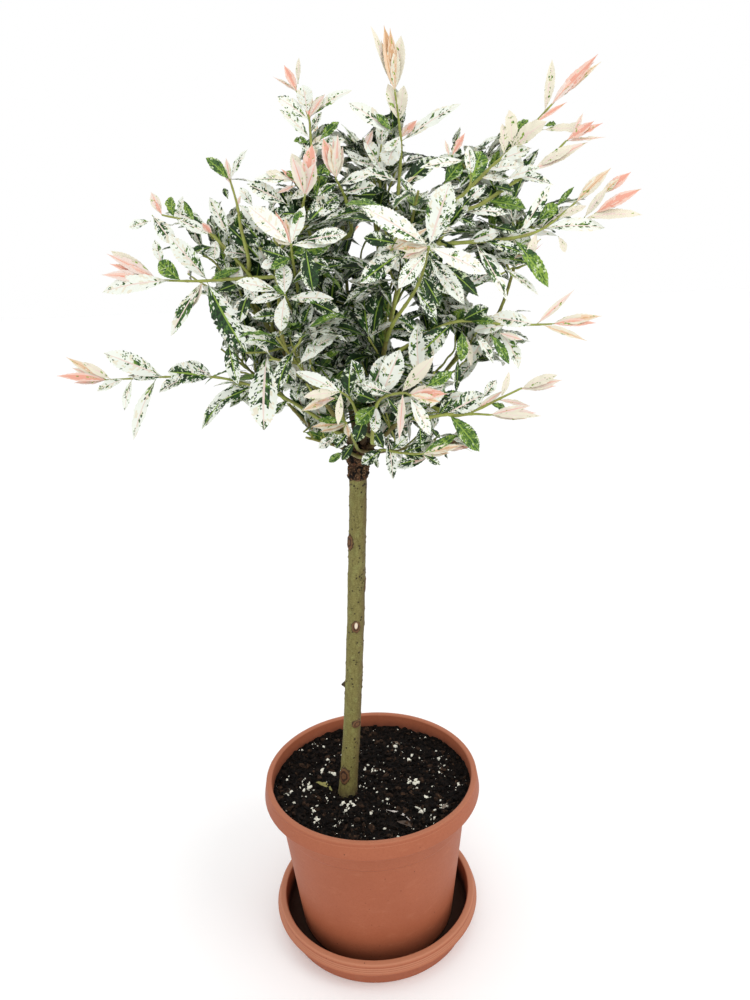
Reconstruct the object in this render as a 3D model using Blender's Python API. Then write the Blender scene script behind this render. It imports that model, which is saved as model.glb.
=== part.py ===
"""A dappled willow grown as a small standard tree, in a round plastic pot on its saucer.

Metres, +Z up. The origin is the centre of the saucer's flat underside, and -Y is the front.
The trunk stands on the soil with a flat foot. Boughs spring from the knobbly head at its top
and end where they enter the masses of foliage. Slim masses stand for the long outer shoots.
"""
import math
from collections import namedtuple

import bmesh
import bpy
from mathutils import Vector, geometry, noise

# Clear distance that two touching solids keep
GAP = 0.0003

# Saucer
SAUCER_FOOT_RADIUS = 0.1139
SAUCER_RIM_RADIUS = 0.1221
SAUCER_BAND_RADIUS = 0.1262
SAUCER_HEIGHT = 0.0356
SAUCER_BAND_HEIGHT = 0.0112
SAUCER_FLOOR = 0.0030
SAUCER_RIM_INSIDE = 0.1146
SAUCER_FLOOR_RADIUS = 0.1085

# Pot, a 254 mm one across the top of its rim
POT_RIM_RADIUS = 0.1270
POT_RIM_HEIGHT = 0.2024
POT_RIM_INSIDE = 0.1199
POT_BAND_RADIUS = 0.1296
POT_BAND_FOOT = 0.1822
POT_NECK_RADIUS = 0.1165
POT_SHOULDER = 0.1535
POT_SHOULDER_STEP = 0.0013
POT_BODY_RADIUS = 0.1149
POT_BASE_RADIUS = 0.0948
POT_BASE_TURN = 0.0085
POT_FOOT_RADIUS = 0.0915
POT_WALL = 0.0026
POT_FLOOR = 0.0045
DRAIN_HOLES = 4
DRAIN_RADIUS = 0.006
DRAIN_CIRCLE = 0.055

# Soil
SOIL_HEIGHT = 0.178
SOIL_LUMP = 0.0035
SOIL_RINGS = 4

# Trunk, leaning to +X
TRUNK_FOOT = Vector((-0.030, -0.014, SOIL_HEIGHT))
TRUNK_TOP = Vector((0.0010, -0.014, 0.5640))
TRUNK_FOOT_RADIUS = 0.0103
TRUNK_TOP_RADIUS = 0.0093
TRUNK_BOW = 0.0028
TRUNK_FLARE = 0.0022
FLARE_HEIGHT = 0.014

# Head, the swollen graft that the boughs spring from
HEAD = Vector((0.0045, -0.014, 0.597))
HEAD_RADIUS = 0.0150
COLLAR_RADIUS = 0.0115

# Boughs
BOUGH_RADIUS = 0.0036
BOUGH_TAPER = 0.55
BOUGH_STEPS = 4
BOUGH_SPREAD = math.radians(31)

# Sides of the round solids
POT_SIDES = 40
TRUNK_SIDES = 12
MASS_SIDES = 12
MASS_RINGS = 9
SHOOT_SIDES = 8
SHOOT_RINGS = 7

# Unevenness of the masses, as a share of their radius, and its size
LUMP = 0.26
LUMP_SIZE = 0.040

# A mass lies in a direction from the head: azimuth from +X towards +Y, and elevation, in
# degrees, then the distance of its middle, and half its length along that direction, half its
# width and half its thickness, in metres.
Mass = namedtuple("Mass", "name azimuth elevation distance half_length half_width half_depth")
MASSES = (
    Mass("lower_left", 174, 39, 0.146, 0.062, 0.056, 0.050),
    Mass("front_low_left", -118, 45, 0.168, 0.052, 0.048, 0.046),
    Mass("front_low_right", -48, 36, 0.130, 0.050, 0.044, 0.042),
    Mass("lower_right", 2, 42, 0.168, 0.060, 0.056, 0.048),
    Mass("skirt_left", -150, 24, 0.054, 0.030, 0.030, 0.025),
    Mass("skirt_right", -12, 6, 0.072, 0.048, 0.036, 0.028),
    Mass("back_low_left", 120, 22, 0.106, 0.060, 0.052, 0.042),
    Mass("back_low_right", 54, 18, 0.108, 0.060, 0.054, 0.042),
    Mass("back_mid", 94, 42, 0.165, 0.056, 0.060, 0.050),
    Mass("back_left", 142, 46, 0.195, 0.068, 0.064, 0.058),
    Mass("back_right", 42, 46, 0.200, 0.068, 0.064, 0.058),
    Mass("left", 174, 58, 0.242, 0.058, 0.058, 0.052),
    Mass("upper_left", -176, 81, 0.256, 0.058, 0.052, 0.050),
    Mass("top", 18, 83, 0.283, 0.056, 0.056, 0.056),
    Mass("upper_right", 10, 64, 0.286, 0.056, 0.056, 0.050),
    Mass("front_left", -121, 62, 0.222, 0.056, 0.056, 0.052),
    Mass("front_right", -62, 62, 0.232, 0.058, 0.062, 0.054),
    Mass("back_upper", 95, 66, 0.250, 0.066, 0.068, 0.062),
    Mass("right", 0, 52, 0.262, 0.058, 0.058, 0.052),
)
# Masses that no bough reaches, as their neighbours stand between them and the head
CARRIED = ("right", "upper_right", "front_left")

# A shoot grows out of a mass. Its tip lies in a direction from the head at a reach.
Shoot = namedtuple("Shoot", "name mass azimuth elevation reach half_width")
SHOOTS = (
    Shoot("top", "top", -6, 83.5, 0.394, 0.016),
    Shoot("top_left", "upper_left", 138, 80, 0.384, 0.024),
    Shoot("twig_left", "left", -164, 65, 0.312, 0.022),
    Shoot("high_left", "left", 167, 53, 0.332, 0.026),
    Shoot("far_left", "left", -169, 38.5, 0.309, 0.031),
    Shoot("low_left", "lower_left", -175, 18, 0.306, 0.033),
    Shoot("high_right", "upper_right", 8, 56, 0.445, 0.021),
    Shoot("upper_right", "upper_right", -14, 51, 0.372, 0.024),
    Shoot("far_right", "right", -3, 42, 0.366, 0.028),
    Shoot("mid_right", "lower_right", 10, 25, 0.292, 0.024),
    Shoot("low_right", "front_low_right", -10, 17, 0.216, 0.031),
    Shoot("foot_right", "skirt_right", -30, 8, 0.140, 0.024),
    Shoot("front", "front_right", -78, 46, 0.280, 0.034),
    Shoot("back_top", "back_upper", 110, 70, 0.365, 0.026),
    Shoot("back_left", "back_left", 150, 40, 0.325, 0.026),
    Shoot("back_right", "back_right", 33, 38, 0.335, 0.026),
    Shoot("back", "back_upper", 88, 46, 0.325, 0.028),
    Shoot("back_low", "back_low_left", 112, 14, 0.245, 0.028),
)
# How far into its mass a shoot starts, as a share of the mass's radius
SHOOT_ROOT = 0.86

PLASTIC = (0.45, 0.13, 0.075)
SOIL_BROWN = (0.012, 0.009, 0.007)
BARK_OLIVE = (0.150, 0.140, 0.055)
BARK_BROWN = (0.060, 0.035, 0.025)
LEAF_GREEN = (0.32, 0.42, 0.24)
TIP_PINK = (0.80, 0.50, 0.42)


def clear_scene():
    for item in list(bpy.data.objects):
        bpy.data.objects.remove(item)


def material(name, colour, roughness):
    made = bpy.data.materials.new(name)
    made.use_nodes = True
    shader = made.node_tree.nodes["Principled BSDF"]
    shader.inputs["Base Color"].default_value = (*colour, 1.0)
    shader.inputs["Roughness"].default_value = roughness
    shader.inputs["Metallic"].default_value = 0.0
    return made


def direction(azimuth, elevation):
    across = math.cos(math.radians(elevation))
    turn = math.radians(azimuth)
    return Vector((across * math.cos(turn), across * math.sin(turn), math.sin(math.radians(elevation))))


def circle(centre, radius, sides, height=0.0):
    """Points of a level circle, counted from +X."""
    turns = [math.tau * step / sides for step in range(sides)]
    return [centre + Vector((radius * math.cos(turn), radius * math.sin(turn), height)) for turn in turns]


def skin(name, rings, finish):
    """One closed solid over rings of points. A ring of one point is a pole."""
    shape = bmesh.new()
    loops = [[shape.verts.new(point) for point in ring] for ring in rings]
    for near, far in zip(loops, loops[1:]):
        count = max(len(near), len(far))
        for side in range(count):
            after = (side + 1) % count
            corners = [near[side % len(near)], near[after % len(near)], far[after % len(far)], far[side % len(far)]]
            face = [corner for spot, corner in enumerate(corners) if corner not in corners[:spot]]
            shape.faces.new(face)
    for end in (loops[0], loops[-1]):
        if len(end) > 1:
            shape.faces.new(end)
    bmesh.ops.triangulate(shape, faces=shape.faces[:])
    bmesh.ops.recalc_face_normals(shape, faces=shape.faces[:])
    mesh = bpy.data.meshes.new(name)
    shape.to_mesh(mesh)
    shape.free()
    mesh.materials.append(finish)
    mesh.shade_smooth()
    mesh.set_sharp_from_angle(angle=math.radians(40))
    made = bpy.data.objects.new(name, mesh)
    bpy.context.collection.objects.link(made)
    return made


def turned(name, profile, sides, finish):
    """A solid turned about Z from a profile of radius and height, pole to pole."""
    rings = []
    for radius, height in profile:
        sides_here = sides if radius > 0.0 else 1
        rings.append(circle(Vector(), radius, sides_here, height))
    return skin(name, rings, finish)


def make_saucer(plastic):
    band_foot = SAUCER_HEIGHT - SAUCER_BAND_HEIGHT
    bevel = 0.0012
    wall = 0.0028
    profile = (
        (0.0, 0.0),
        (SAUCER_FOOT_RADIUS - bevel, 0.0),
        (SAUCER_FOOT_RADIUS, bevel),
        (SAUCER_RIM_INSIDE + wall, band_foot - bevel),
        (SAUCER_BAND_RADIUS - bevel, band_foot - bevel),
        (SAUCER_BAND_RADIUS, band_foot),
        (SAUCER_RIM_RADIUS + bevel / 2, SAUCER_HEIGHT - bevel),
        (SAUCER_RIM_RADIUS - bevel / 2, SAUCER_HEIGHT),
        (SAUCER_RIM_INSIDE + bevel, SAUCER_HEIGHT),
        (SAUCER_RIM_INSIDE, SAUCER_HEIGHT - bevel),
        (SAUCER_RIM_INSIDE - wall, 2 * SAUCER_FLOOR),
        (SAUCER_FLOOR_RADIUS, SAUCER_FLOOR),
        (0.0, SAUCER_FLOOR),
    )
    return turned("saucer", profile, POT_SIDES, plastic)


def body_radius(height):
    """The pot's outer radius on its straight taper."""
    share = (height - POT_BASE_TURN) / (POT_BAND_FOOT - POT_BASE_TURN)
    return POT_BASE_RADIUS + share * (POT_BODY_RADIUS - POT_BASE_RADIUS)


def pot_profile():
    foot = SAUCER_FLOOR + GAP
    floor = foot + POT_FLOOR
    bevel = 0.0012
    outside = (
        (0.0, foot),
        (POT_FOOT_RADIUS, foot),
        (POT_BASE_RADIUS - bevel, POT_BASE_TURN - 2 * bevel),
        (POT_BASE_RADIUS, POT_BASE_TURN),
        (body_radius(POT_SHOULDER), POT_SHOULDER),
        (body_radius(POT_SHOULDER) + POT_SHOULDER_STEP, POT_SHOULDER + bevel),
        (POT_NECK_RADIUS, POT_BAND_FOOT - bevel),
        (POT_BAND_RADIUS - bevel, POT_BAND_FOOT - bevel / 2),
        (POT_BAND_RADIUS, POT_BAND_FOOT + bevel / 2),
        (POT_RIM_RADIUS, POT_RIM_HEIGHT - bevel),
        (POT_RIM_RADIUS - bevel, POT_RIM_HEIGHT),
    )
    inside = (
        (POT_RIM_INSIDE + bevel, POT_RIM_HEIGHT),
        (POT_RIM_INSIDE, POT_RIM_HEIGHT - bevel),
        (inner_radius(SOIL_HEIGHT), SOIL_HEIGHT),
        (inner_radius(floor), floor),
        (0.0, floor),
    )
    return outside + inside


def inner_radius(height):
    """The radius of the pot's inside, up to the soil's surface."""
    return body_radius(height) - POT_WALL


def drain_cutter(plastic):
    """Round pegs, joined, that cut the drain holes through the pot's floor."""
    shape = bmesh.new()
    for hole in range(DRAIN_HOLES):
        turn = math.tau * (hole + 0.5) / DRAIN_HOLES
        spot = Vector((DRAIN_CIRCLE * math.cos(turn), DRAIN_CIRCLE * math.sin(turn), POT_FLOOR))
        peg = bmesh.ops.create_cone(
            shape, cap_ends=True, segments=8, radius1=DRAIN_RADIUS, radius2=DRAIN_RADIUS, depth=4 * POT_FLOOR)
        bmesh.ops.translate(shape, verts=peg["verts"], vec=spot)
    mesh = bpy.data.meshes.new("drain_cutter")
    shape.to_mesh(mesh)
    shape.free()
    mesh.materials.append(plastic)
    cutter = bpy.data.objects.new("drain_cutter", mesh)
    bpy.context.collection.objects.link(cutter)
    cutter.hide_render = True
    cutter.display_type = "WIRE"
    return cutter


def make_pot(plastic):
    pot = turned("pot", pot_profile(), POT_SIDES, plastic)
    cut = pot.modifiers.new("drain_holes", "BOOLEAN")
    cut.operation = "DIFFERENCE"
    cut.solver = "EXACT"
    cut.object = drain_cutter(plastic)
    return pot


def make_soil(earth):
    """Soil that fills the pot, with an uneven top and a level seat under the trunk."""
    floor = SAUCER_FLOOR + GAP + POT_FLOOR + GAP
    centre = Vector()
    bottom = circle(centre, inner_radius(floor) - GAP, POT_SIDES, floor)
    wall = circle(centre, inner_radius(SOIL_HEIGHT) - 2 * GAP, POT_SIDES, SOIL_HEIGHT - SOIL_LUMP)
    seat_radius = TRUNK_FOOT_RADIUS + TRUNK_FLARE + 0.004
    seat = circle(Vector((TRUNK_FOOT.x, TRUNK_FOOT.y, 0.0)), seat_radius, POT_SIDES, SOIL_HEIGHT - GAP)
    rings = [bottom, wall]
    for step in range(1, SOIL_RINGS):
        share = step / SOIL_RINGS
        ring = []
        for edge, near in zip(wall, seat):
            spot = edge.lerp(near, share)
            lump = SOIL_LUMP * math.sin(math.pi * share) * noise.noise(spot / 0.03)
            spot.z = SOIL_HEIGHT - GAP - SOIL_LUMP * (1 - share) ** 2 + lump
            ring.append(spot)
        rings.append(ring)
    rings.append(seat)
    return skin("soil", rings, earth)


def trunk_centre(share):
    """A point of the trunk's axis, which leans and bows a little."""
    spot = TRUNK_FOOT.lerp(TRUNK_TOP, share)
    spot.x += TRUNK_BOW * math.sin(math.pi * share ** 0.8)
    return spot


def trunk_radius(share):
    rise = share * (TRUNK_TOP.z - TRUNK_FOOT.z)
    flare = TRUNK_FLARE * math.exp(-rise / FLARE_HEIGHT)
    return TRUNK_FOOT_RADIUS + share * (TRUNK_TOP_RADIUS - TRUNK_FOOT_RADIUS) + flare


def make_trunk(bark):
    shares = [0.0, 0.01, 0.025, 0.05, 0.1] + [0.2 + step * 0.1 for step in range(9)]
    rings = [circle(trunk_centre(share), trunk_radius(share), TRUNK_SIDES) for share in shares]
    return skin("trunk", rings, bark)


def make_head(bark):
    """A short collar that swells into a round knob."""
    foot = TRUNK_TOP + Vector((0.0, 0.0, GAP))
    rings = [circle(foot, COLLAR_RADIUS, TRUNK_SIDES)]
    rings.append(circle(foot.lerp(HEAD, 0.45), COLLAR_RADIUS, TRUNK_SIDES))
    for tilt in range(-30, 90, 20):
        radius = HEAD_RADIUS * math.cos(math.radians(tilt))
        height = HEAD_RADIUS * math.sin(math.radians(tilt))
        rings.append(circle(HEAD, radius, TRUNK_SIDES, height))
    rings.append([HEAD + Vector((0.0, 0.0, HEAD_RADIUS))])
    return skin("graft_head", rings, bark)


def mass_centre(mass):
    return HEAD + direction(mass.azimuth, mass.elevation) * mass.distance


def spread_starts(masses):
    """Directions in which the boughs leave the head, pushed apart until they don't crowd."""
    starts = {mass.name: direction(mass.azimuth, mass.elevation) for mass in masses}
    for _ in range(80):
        for first in starts:
            for second in starts:
                apart = starts[first].angle(starts[second])
                if first == second or apart >= BOUGH_SPREAD:
                    continue
                push = (starts[first] - starts[second]).normalized() * (BOUGH_SPREAD - apart) * 0.3
                starts[first] = (starts[first] + push).normalized()
                starts[second] = (starts[second] - push).normalized()
    return starts


def bough_line(start, mass):
    """Points from the head to the mass's near side, and the direction in which they end."""
    first = HEAD + start * (HEAD_RADIUS + GAP)
    aim = mass_centre(mass) - first
    last = first + aim * (1 - 0.8 * mass.half_length / aim.length)
    bend = first + start * (last - first).length * 0.4
    points = []
    for step in range(BOUGH_STEPS + 1):
        share = step / BOUGH_STEPS
        points.append(first.lerp(bend, share).lerp(bend.lerp(last, share), share))
    return points, (last - bend).normalized()


def bough_radius(share, length):
    base = BOUGH_RADIUS * min(1.0, 0.7 + length)
    return base * (1 - (1 - BOUGH_TAPER) * share)


def make_bough(name, points, bark):
    """A tapering limb of round section, with flat ends."""
    path = bpy.data.curves.new(name, "CURVE")
    path.dimensions = "3D"
    path.bevel_depth = 1.0
    path.bevel_resolution = 2
    path.use_fill_caps = True
    line = path.splines.new("POLY")
    line.points.add(len(points) - 1)
    length = (points[-1] - points[0]).length
    for step, point in enumerate(points):
        line.points[step].co = (*point, 1.0)
        line.points[step].radius = bough_radius(step / BOUGH_STEPS, length)
    path.materials.append(bark)
    made = bpy.data.objects.new(name, path)
    bpy.context.collection.objects.link(made)
    return made


def nearest_point(points, spot):
    """The point of a line of straight runs that lies nearest to a spot."""
    found = []
    for near, far in zip(points, points[1:]):
        share = geometry.intersect_point_line(spot, near, far)[1]
        found.append(near.lerp(far, min(1.0, max(0.0, share))))
    return min(found, key=lambda point: (point - spot).length)


class Lobe:
    """A closed mass of foliage: a lumpy ellipsoid, cut flat where it meets its neighbours."""

    def __init__(self, name, centre, along, half_sizes):
        self.name = name
        self.centre = centre
        side = Vector((0.0, 0.0, 1.0)).cross(along).normalized()
        self.axes = (along, side, along.cross(side))
        self.half_sizes = half_sizes
        self.girth = sum(half_sizes) / 3
        self.walls = []
        self.carrier = None

    def radius(self, way):
        """The plain ellipsoid's radius in a direction."""
        spans = zip(self.axes, self.half_sizes)
        return 1 / math.sqrt(sum((way.dot(axis) / half) ** 2 for axis, half in spans))

    def keep_behind(self, normal, point):
        """The mass stays on the side of a plane that the normal points away from."""
        self.walls.append((normal, normal.dot(point) - GAP / 2))

    def keep_off_limb(self, points, radii):
        """The mass stays clear of a limb, by a plane between the two."""
        normal = (nearest_point(points, self.centre) - self.centre).normalized()
        limit = min(normal.dot(point) - radius for point, radius in zip(points, radii))
        self.walls.append((normal, limit - GAP))

    def surface(self, way):
        seed = Vector((len(self.name) * 1.7, self.centre.x * 40, self.centre.z * 40))
        reach = self.radius(way)
        bump = noise.noise(seed + way * reach / LUMP_SIZE) + 0.5 * noise.noise(seed + way * reach * 2 / LUMP_SIZE)
        reach *= 1 + LUMP * bump
        for normal, limit in self.walls:
            facing = normal.dot(way)
            if facing > 1e-6:
                reach = min(reach, (limit - normal.dot(self.centre)) / facing)
        return self.centre + way * reach

    def make(self, sides, rings_between, finish):
        along, side, up = self.axes
        long_half, wide_half, deep_half = self.half_sizes
        rings = [[self.surface(-along)]]
        for step in range(1, rings_between + 1):
            tilt = math.pi * step / (rings_between + 1)
            ring = []
            for spoke in range(sides):
                turn = math.tau * (spoke + 0.5 * (step % 2)) / sides
                across = side * wide_half * math.cos(turn) + up * deep_half * math.sin(turn)
                way = along * (-long_half * math.cos(tilt)) + across * math.sin(tilt)
                ring.append(self.surface(way.normalized()))
            rings.append(ring)
        rings.append([self.surface(along)])
        return skin(self.name, rings, finish)


def part_neighbours(lobes):
    """Flat walls between each two masses, where spheres of their girth would cross."""
    for spot, one in enumerate(lobes):
        for other in lobes[spot + 1:]:
            apart = other.centre - one.centre
            normal = apart.normalized()
            if one.carrier is other or other.carrier is one:
                carrier, child = (one, other) if other.carrier is one else (other, one)
                outward = child.axes[0]
                root = carrier.centre + outward * carrier.radius(outward) * SHOOT_ROOT
                carrier.keep_behind(outward, root)
                child.keep_behind(-outward, root)
                continue
            share = 0.5 + (one.girth ** 2 - other.girth ** 2) / (2 * apart.length_squared)
            meeting = one.centre + apart * share
            one.keep_behind(normal, meeting)
            other.keep_behind(-normal, meeting)


def make_crown(bark, leaf, tip):
    lobes = {}
    for mass in MASSES:
        halves = (mass.half_length, mass.half_width, mass.half_depth)
        along = direction(mass.azimuth, mass.elevation)
        lobes[mass.name] = Lobe("foliage_" + mass.name, mass_centre(mass), along, halves)
    shoots = []
    for shoot in SHOOTS:
        carrier = lobes[shoot.mass]
        end = HEAD + direction(shoot.azimuth, shoot.elevation) * shoot.reach
        along = (end - carrier.centre).normalized()
        root = carrier.centre + along * carrier.radius(along) * SHOOT_ROOT * 0.7
        halves = ((end - root).length / 2, shoot.half_width, shoot.half_width * 0.85)
        lobe = Lobe("shoot_" + shoot.name, (end + root) / 2, along, halves)
        lobe.carrier = carrier
        shoots.append(lobe)
    part_neighbours(list(lobes.values()) + shoots)

    reached = [mass for mass in MASSES if mass.name not in CARRIED]
    starts = spread_starts(reached)
    trunk_points = [trunk_centre(step / 10) for step in range(11)] + [HEAD]
    trunk_radii = [trunk_radius(step / 10) for step in range(11)] + [HEAD_RADIUS]
    limbs = {}
    for mass in reached:
        points, ending = bough_line(starts[mass.name], mass)
        make_bough("bough_" + mass.name, points, bark)
        lobes[mass.name].keep_behind(-ending, points[-1] + ending * GAP / 2)
        limbs[mass.name] = points
    for lobe in list(lobes.values()) + shoots:
        lobe.keep_off_limb(trunk_points, trunk_radii)
        for name, points in limbs.items():
            if lobe is lobes[name]:
                continue
            length = (points[-1] - points[0]).length
            radii = [bough_radius(step / BOUGH_STEPS, length) for step in range(BOUGH_STEPS + 1)]
            lobe.keep_off_limb(points, radii)
    for lobe in lobes.values():
        lobe.make(MASS_SIDES, MASS_RINGS, leaf)
    for lobe in shoots:
        lobe.make(SHOOT_SIDES, SHOOT_RINGS, tip)


def main():
    clear_scene()
    plastic = material("terracotta_plastic", PLASTIC, 0.6)
    make_saucer(plastic)
    make_pot(plastic)
    make_soil(material("potting_soil", SOIL_BROWN, 0.95))
    bark = material("green_bark", BARK_OLIVE, 0.7)
    make_trunk(bark)
    make_head(material("graft_bark", BARK_BROWN, 0.9))
    make_crown(bark, material("dappled_leaves", LEAF_GREEN, 0.6), material("young_leaves", TIP_PINK, 0.6))


main()
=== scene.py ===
"""The looks of a potted dappled willow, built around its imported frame.

The file is laid out as an add-on and run as a script. Metres, +Z up, and -Y is the front. The frame
gives the places that the pieces keep to: pot, saucer, soil, trunk, graft, boughs and the masses of
the crown. Boughs grow on into twigs and shoots by a seeded rule, and the twigs carry the leaves.
"""
import math
from collections import namedtuple

import bmesh
import bpy
import numpy as np
from bpy.props import FloatProperty, FloatVectorProperty, IntProperty, PointerProperty
from mathutils import Matrix, Vector, noise
from mathutils.bvhtree import BVHTree
from numpy.linalg import norm


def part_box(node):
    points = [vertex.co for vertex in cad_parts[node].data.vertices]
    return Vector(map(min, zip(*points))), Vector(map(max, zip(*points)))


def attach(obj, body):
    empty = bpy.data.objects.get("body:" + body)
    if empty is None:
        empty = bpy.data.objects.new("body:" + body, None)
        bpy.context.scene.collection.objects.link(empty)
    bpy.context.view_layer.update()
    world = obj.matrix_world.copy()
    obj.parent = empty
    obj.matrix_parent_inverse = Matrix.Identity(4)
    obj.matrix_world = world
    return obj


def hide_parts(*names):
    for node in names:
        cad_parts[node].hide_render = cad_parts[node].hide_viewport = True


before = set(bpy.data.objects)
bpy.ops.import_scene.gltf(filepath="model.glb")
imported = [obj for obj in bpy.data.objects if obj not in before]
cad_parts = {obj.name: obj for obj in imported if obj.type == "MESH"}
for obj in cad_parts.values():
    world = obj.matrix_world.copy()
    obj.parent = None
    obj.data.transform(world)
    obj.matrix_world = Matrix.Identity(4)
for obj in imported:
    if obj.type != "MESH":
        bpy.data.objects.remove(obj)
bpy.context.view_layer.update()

bl_info = {
    "name": "Dappled Willow in a Pot",
    "version": (1, 0, 0),
    "blender": (4, 5, 0),
    "location": "3D View > Sidebar > Willow",
    "description": "Grows bark, twigs and speckled leaves on the frame of a potted willow",
    "category": "Add Mesh",
}

BODY = "root"
UP = np.array((0.0, 0.0, 1.0))
GOLDEN_TURN = math.pi * (3 - math.sqrt(5))

# The view of the photograph, 750 by 1000 pixels
EYE = np.array((0.0182, -0.7845, 0.7673))
PITCH = 0.2801
ROLL = -0.0424
FOCUS = 750.0
MIDDLE_U = 375.0
MIDDLE_V = 500.0


def shown(red, green, blue):
    """A colour given as a screen shows it, 0 to 255, in linear values."""
    parts = (red / 255, green / 255, blue / 255)
    return tuple(part / 12.92 if part < 0.04 else ((part + 0.055) / 1.055) ** 2.4 for part in parts)


# Settings that a user would change


def colour_setting(name, description, default):
    return FloatVectorProperty(
        name=name, description=description, default=default, size=3, min=0.0, max=1.0, subtype="COLOR")


def length_setting(name, description, default):
    return FloatProperty(
        name=name, description=description, default=default, min=0.0, unit="LENGTH", precision=4)


class PotSettings(bpy.types.PropertyGroup):
    plastic: colour_setting("Plastic", "Colour of the pot and its saucer", shown(160, 91, 63))
    shade: colour_setting("Shade", "Darker colour that mottles the plastic", shown(150, 82, 55))
    # This pale colour is real dust and scuffs, and also painted light from above on upward faces
    dust_and_top_light: colour_setting("Dust", "Pale dust on the plastic", shown(192, 132, 102))
    rim_band: length_setting("Rim band", "Height of the band round the pot's rim", 0.0202)
    saucer_band: length_setting("Saucer band", "Height of the band round the saucer's rim", 0.0112)
    wall: length_setting("Wall", "Thickness of the pot's wall", 0.0026)
    sides: IntProperty(name="Sides", description="Sides of the turned pieces", default=160, min=24)


class SoilSettings(bpy.types.PropertyGroup):
    peat: colour_setting("Peat", "Colour of the moist potting mix", shown(9, 7, 6))
    fibre: colour_setting("Fibre", "Colour of the browner crumbs", shown(40, 29, 22))
    perlite: colour_setting("Perlite", "Colour of the white grains", shown(240, 238, 224))
    crumbs: IntProperty(name="Crumbs", description="Number of crumbs on the soil", default=3000, min=0)
    grains: IntProperty(name="Grains", description="Number of loose white grains", default=420, min=0)


class BarkSettings(bpy.types.PropertyGroup):
    olive: colour_setting("Olive", "Main colour of the stem's bark", shown(122, 115, 64))
    # The brown also paints shade on one side of the stem
    brown: colour_setting("Brown", "Browner colour of the bark's sunny side", shown(90, 70, 43))
    scar: colour_setting("Scar", "Brown of the healed cuts", shown(106, 74, 48))
    graft: colour_setting("Graft", "Dark brown of the rough graft", shown(54, 38, 26))
    twig: colour_setting("Twig", "Yellow green of the young twigs", shown(150, 160, 76))
    relief: length_setting("Relief", "Depth of the bark's streaks", 0.00022)


class LeafSettings(bpy.types.PropertyGroup):
    length: length_setting("Length", "Length of a grown leaf", 0.062)
    slimness: FloatProperty(
        name="Slimness", description="Width of a grown leaf as a share of its length", default=0.29,
        min=0.1, max=0.5, subtype="FACTOR")
    spacing: length_setting("Spacing", "Distance between two pairs of leaves on a twig", 0.0170)
    twigs: IntProperty(name="Twigs", description="Side twigs in each mass of the crown", default=7, min=1)
    seed: IntProperty(name="Seed", description="Number that the branching starts from", default=11)


class StageSettings(bpy.types.PropertyGroup):
    eye: FloatVectorProperty(
        name="Eye", description="Where the camera stands", default=tuple(EYE), size=3, unit="LENGTH")
    pitch: FloatProperty(
        name="Pitch", description="How far the camera looks down", default=PITCH, subtype="ANGLE")
    roll: FloatProperty(
        name="Roll", description="How far the camera is tilted", default=ROLL, subtype="ANGLE")
    lens: FloatProperty(
        name="Lens", description="Focal length on a frame 36 mm high", default=27.0, min=1.0, unit="CAMERA")
    key: FloatProperty(
        name="Key", description="Power of the main light", default=9.0, min=0.0, unit="POWER")
    fill: FloatProperty(
        name="Fill", description="Power of the second light", default=4.2, min=0.0, unit="POWER")


# Nodes of the materials


class Wire:
    """A socket that Python's operators work on. Each operator adds a Math node."""

    def __init__(self, paint, socket):
        self.paint = paint
        self.socket = socket

    def math(self, operation, *values):
        return self.paint.node("ShaderNodeMath", {"operation": operation}, dict(enumerate(values)))

    def __add__(self, other):
        return self.math("ADD", self, other)

    __radd__ = __add__

    def __sub__(self, other):
        return self.math("SUBTRACT", self, other)

    def __rsub__(self, other):
        return self.math("SUBTRACT", other, self)

    def __mul__(self, other):
        return self.math("MULTIPLY", self, other)

    __rmul__ = __mul__

    def above(self, edge, softness):
        """0 below the edge and 1 above it, with a soft step between."""
        return self.paint.node(
            "ShaderNodeMapRange", {"interpolation_type": "SMOOTHSTEP"},
            {"Value": self, "From Min": edge - softness, "From Max": edge + softness})


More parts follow.
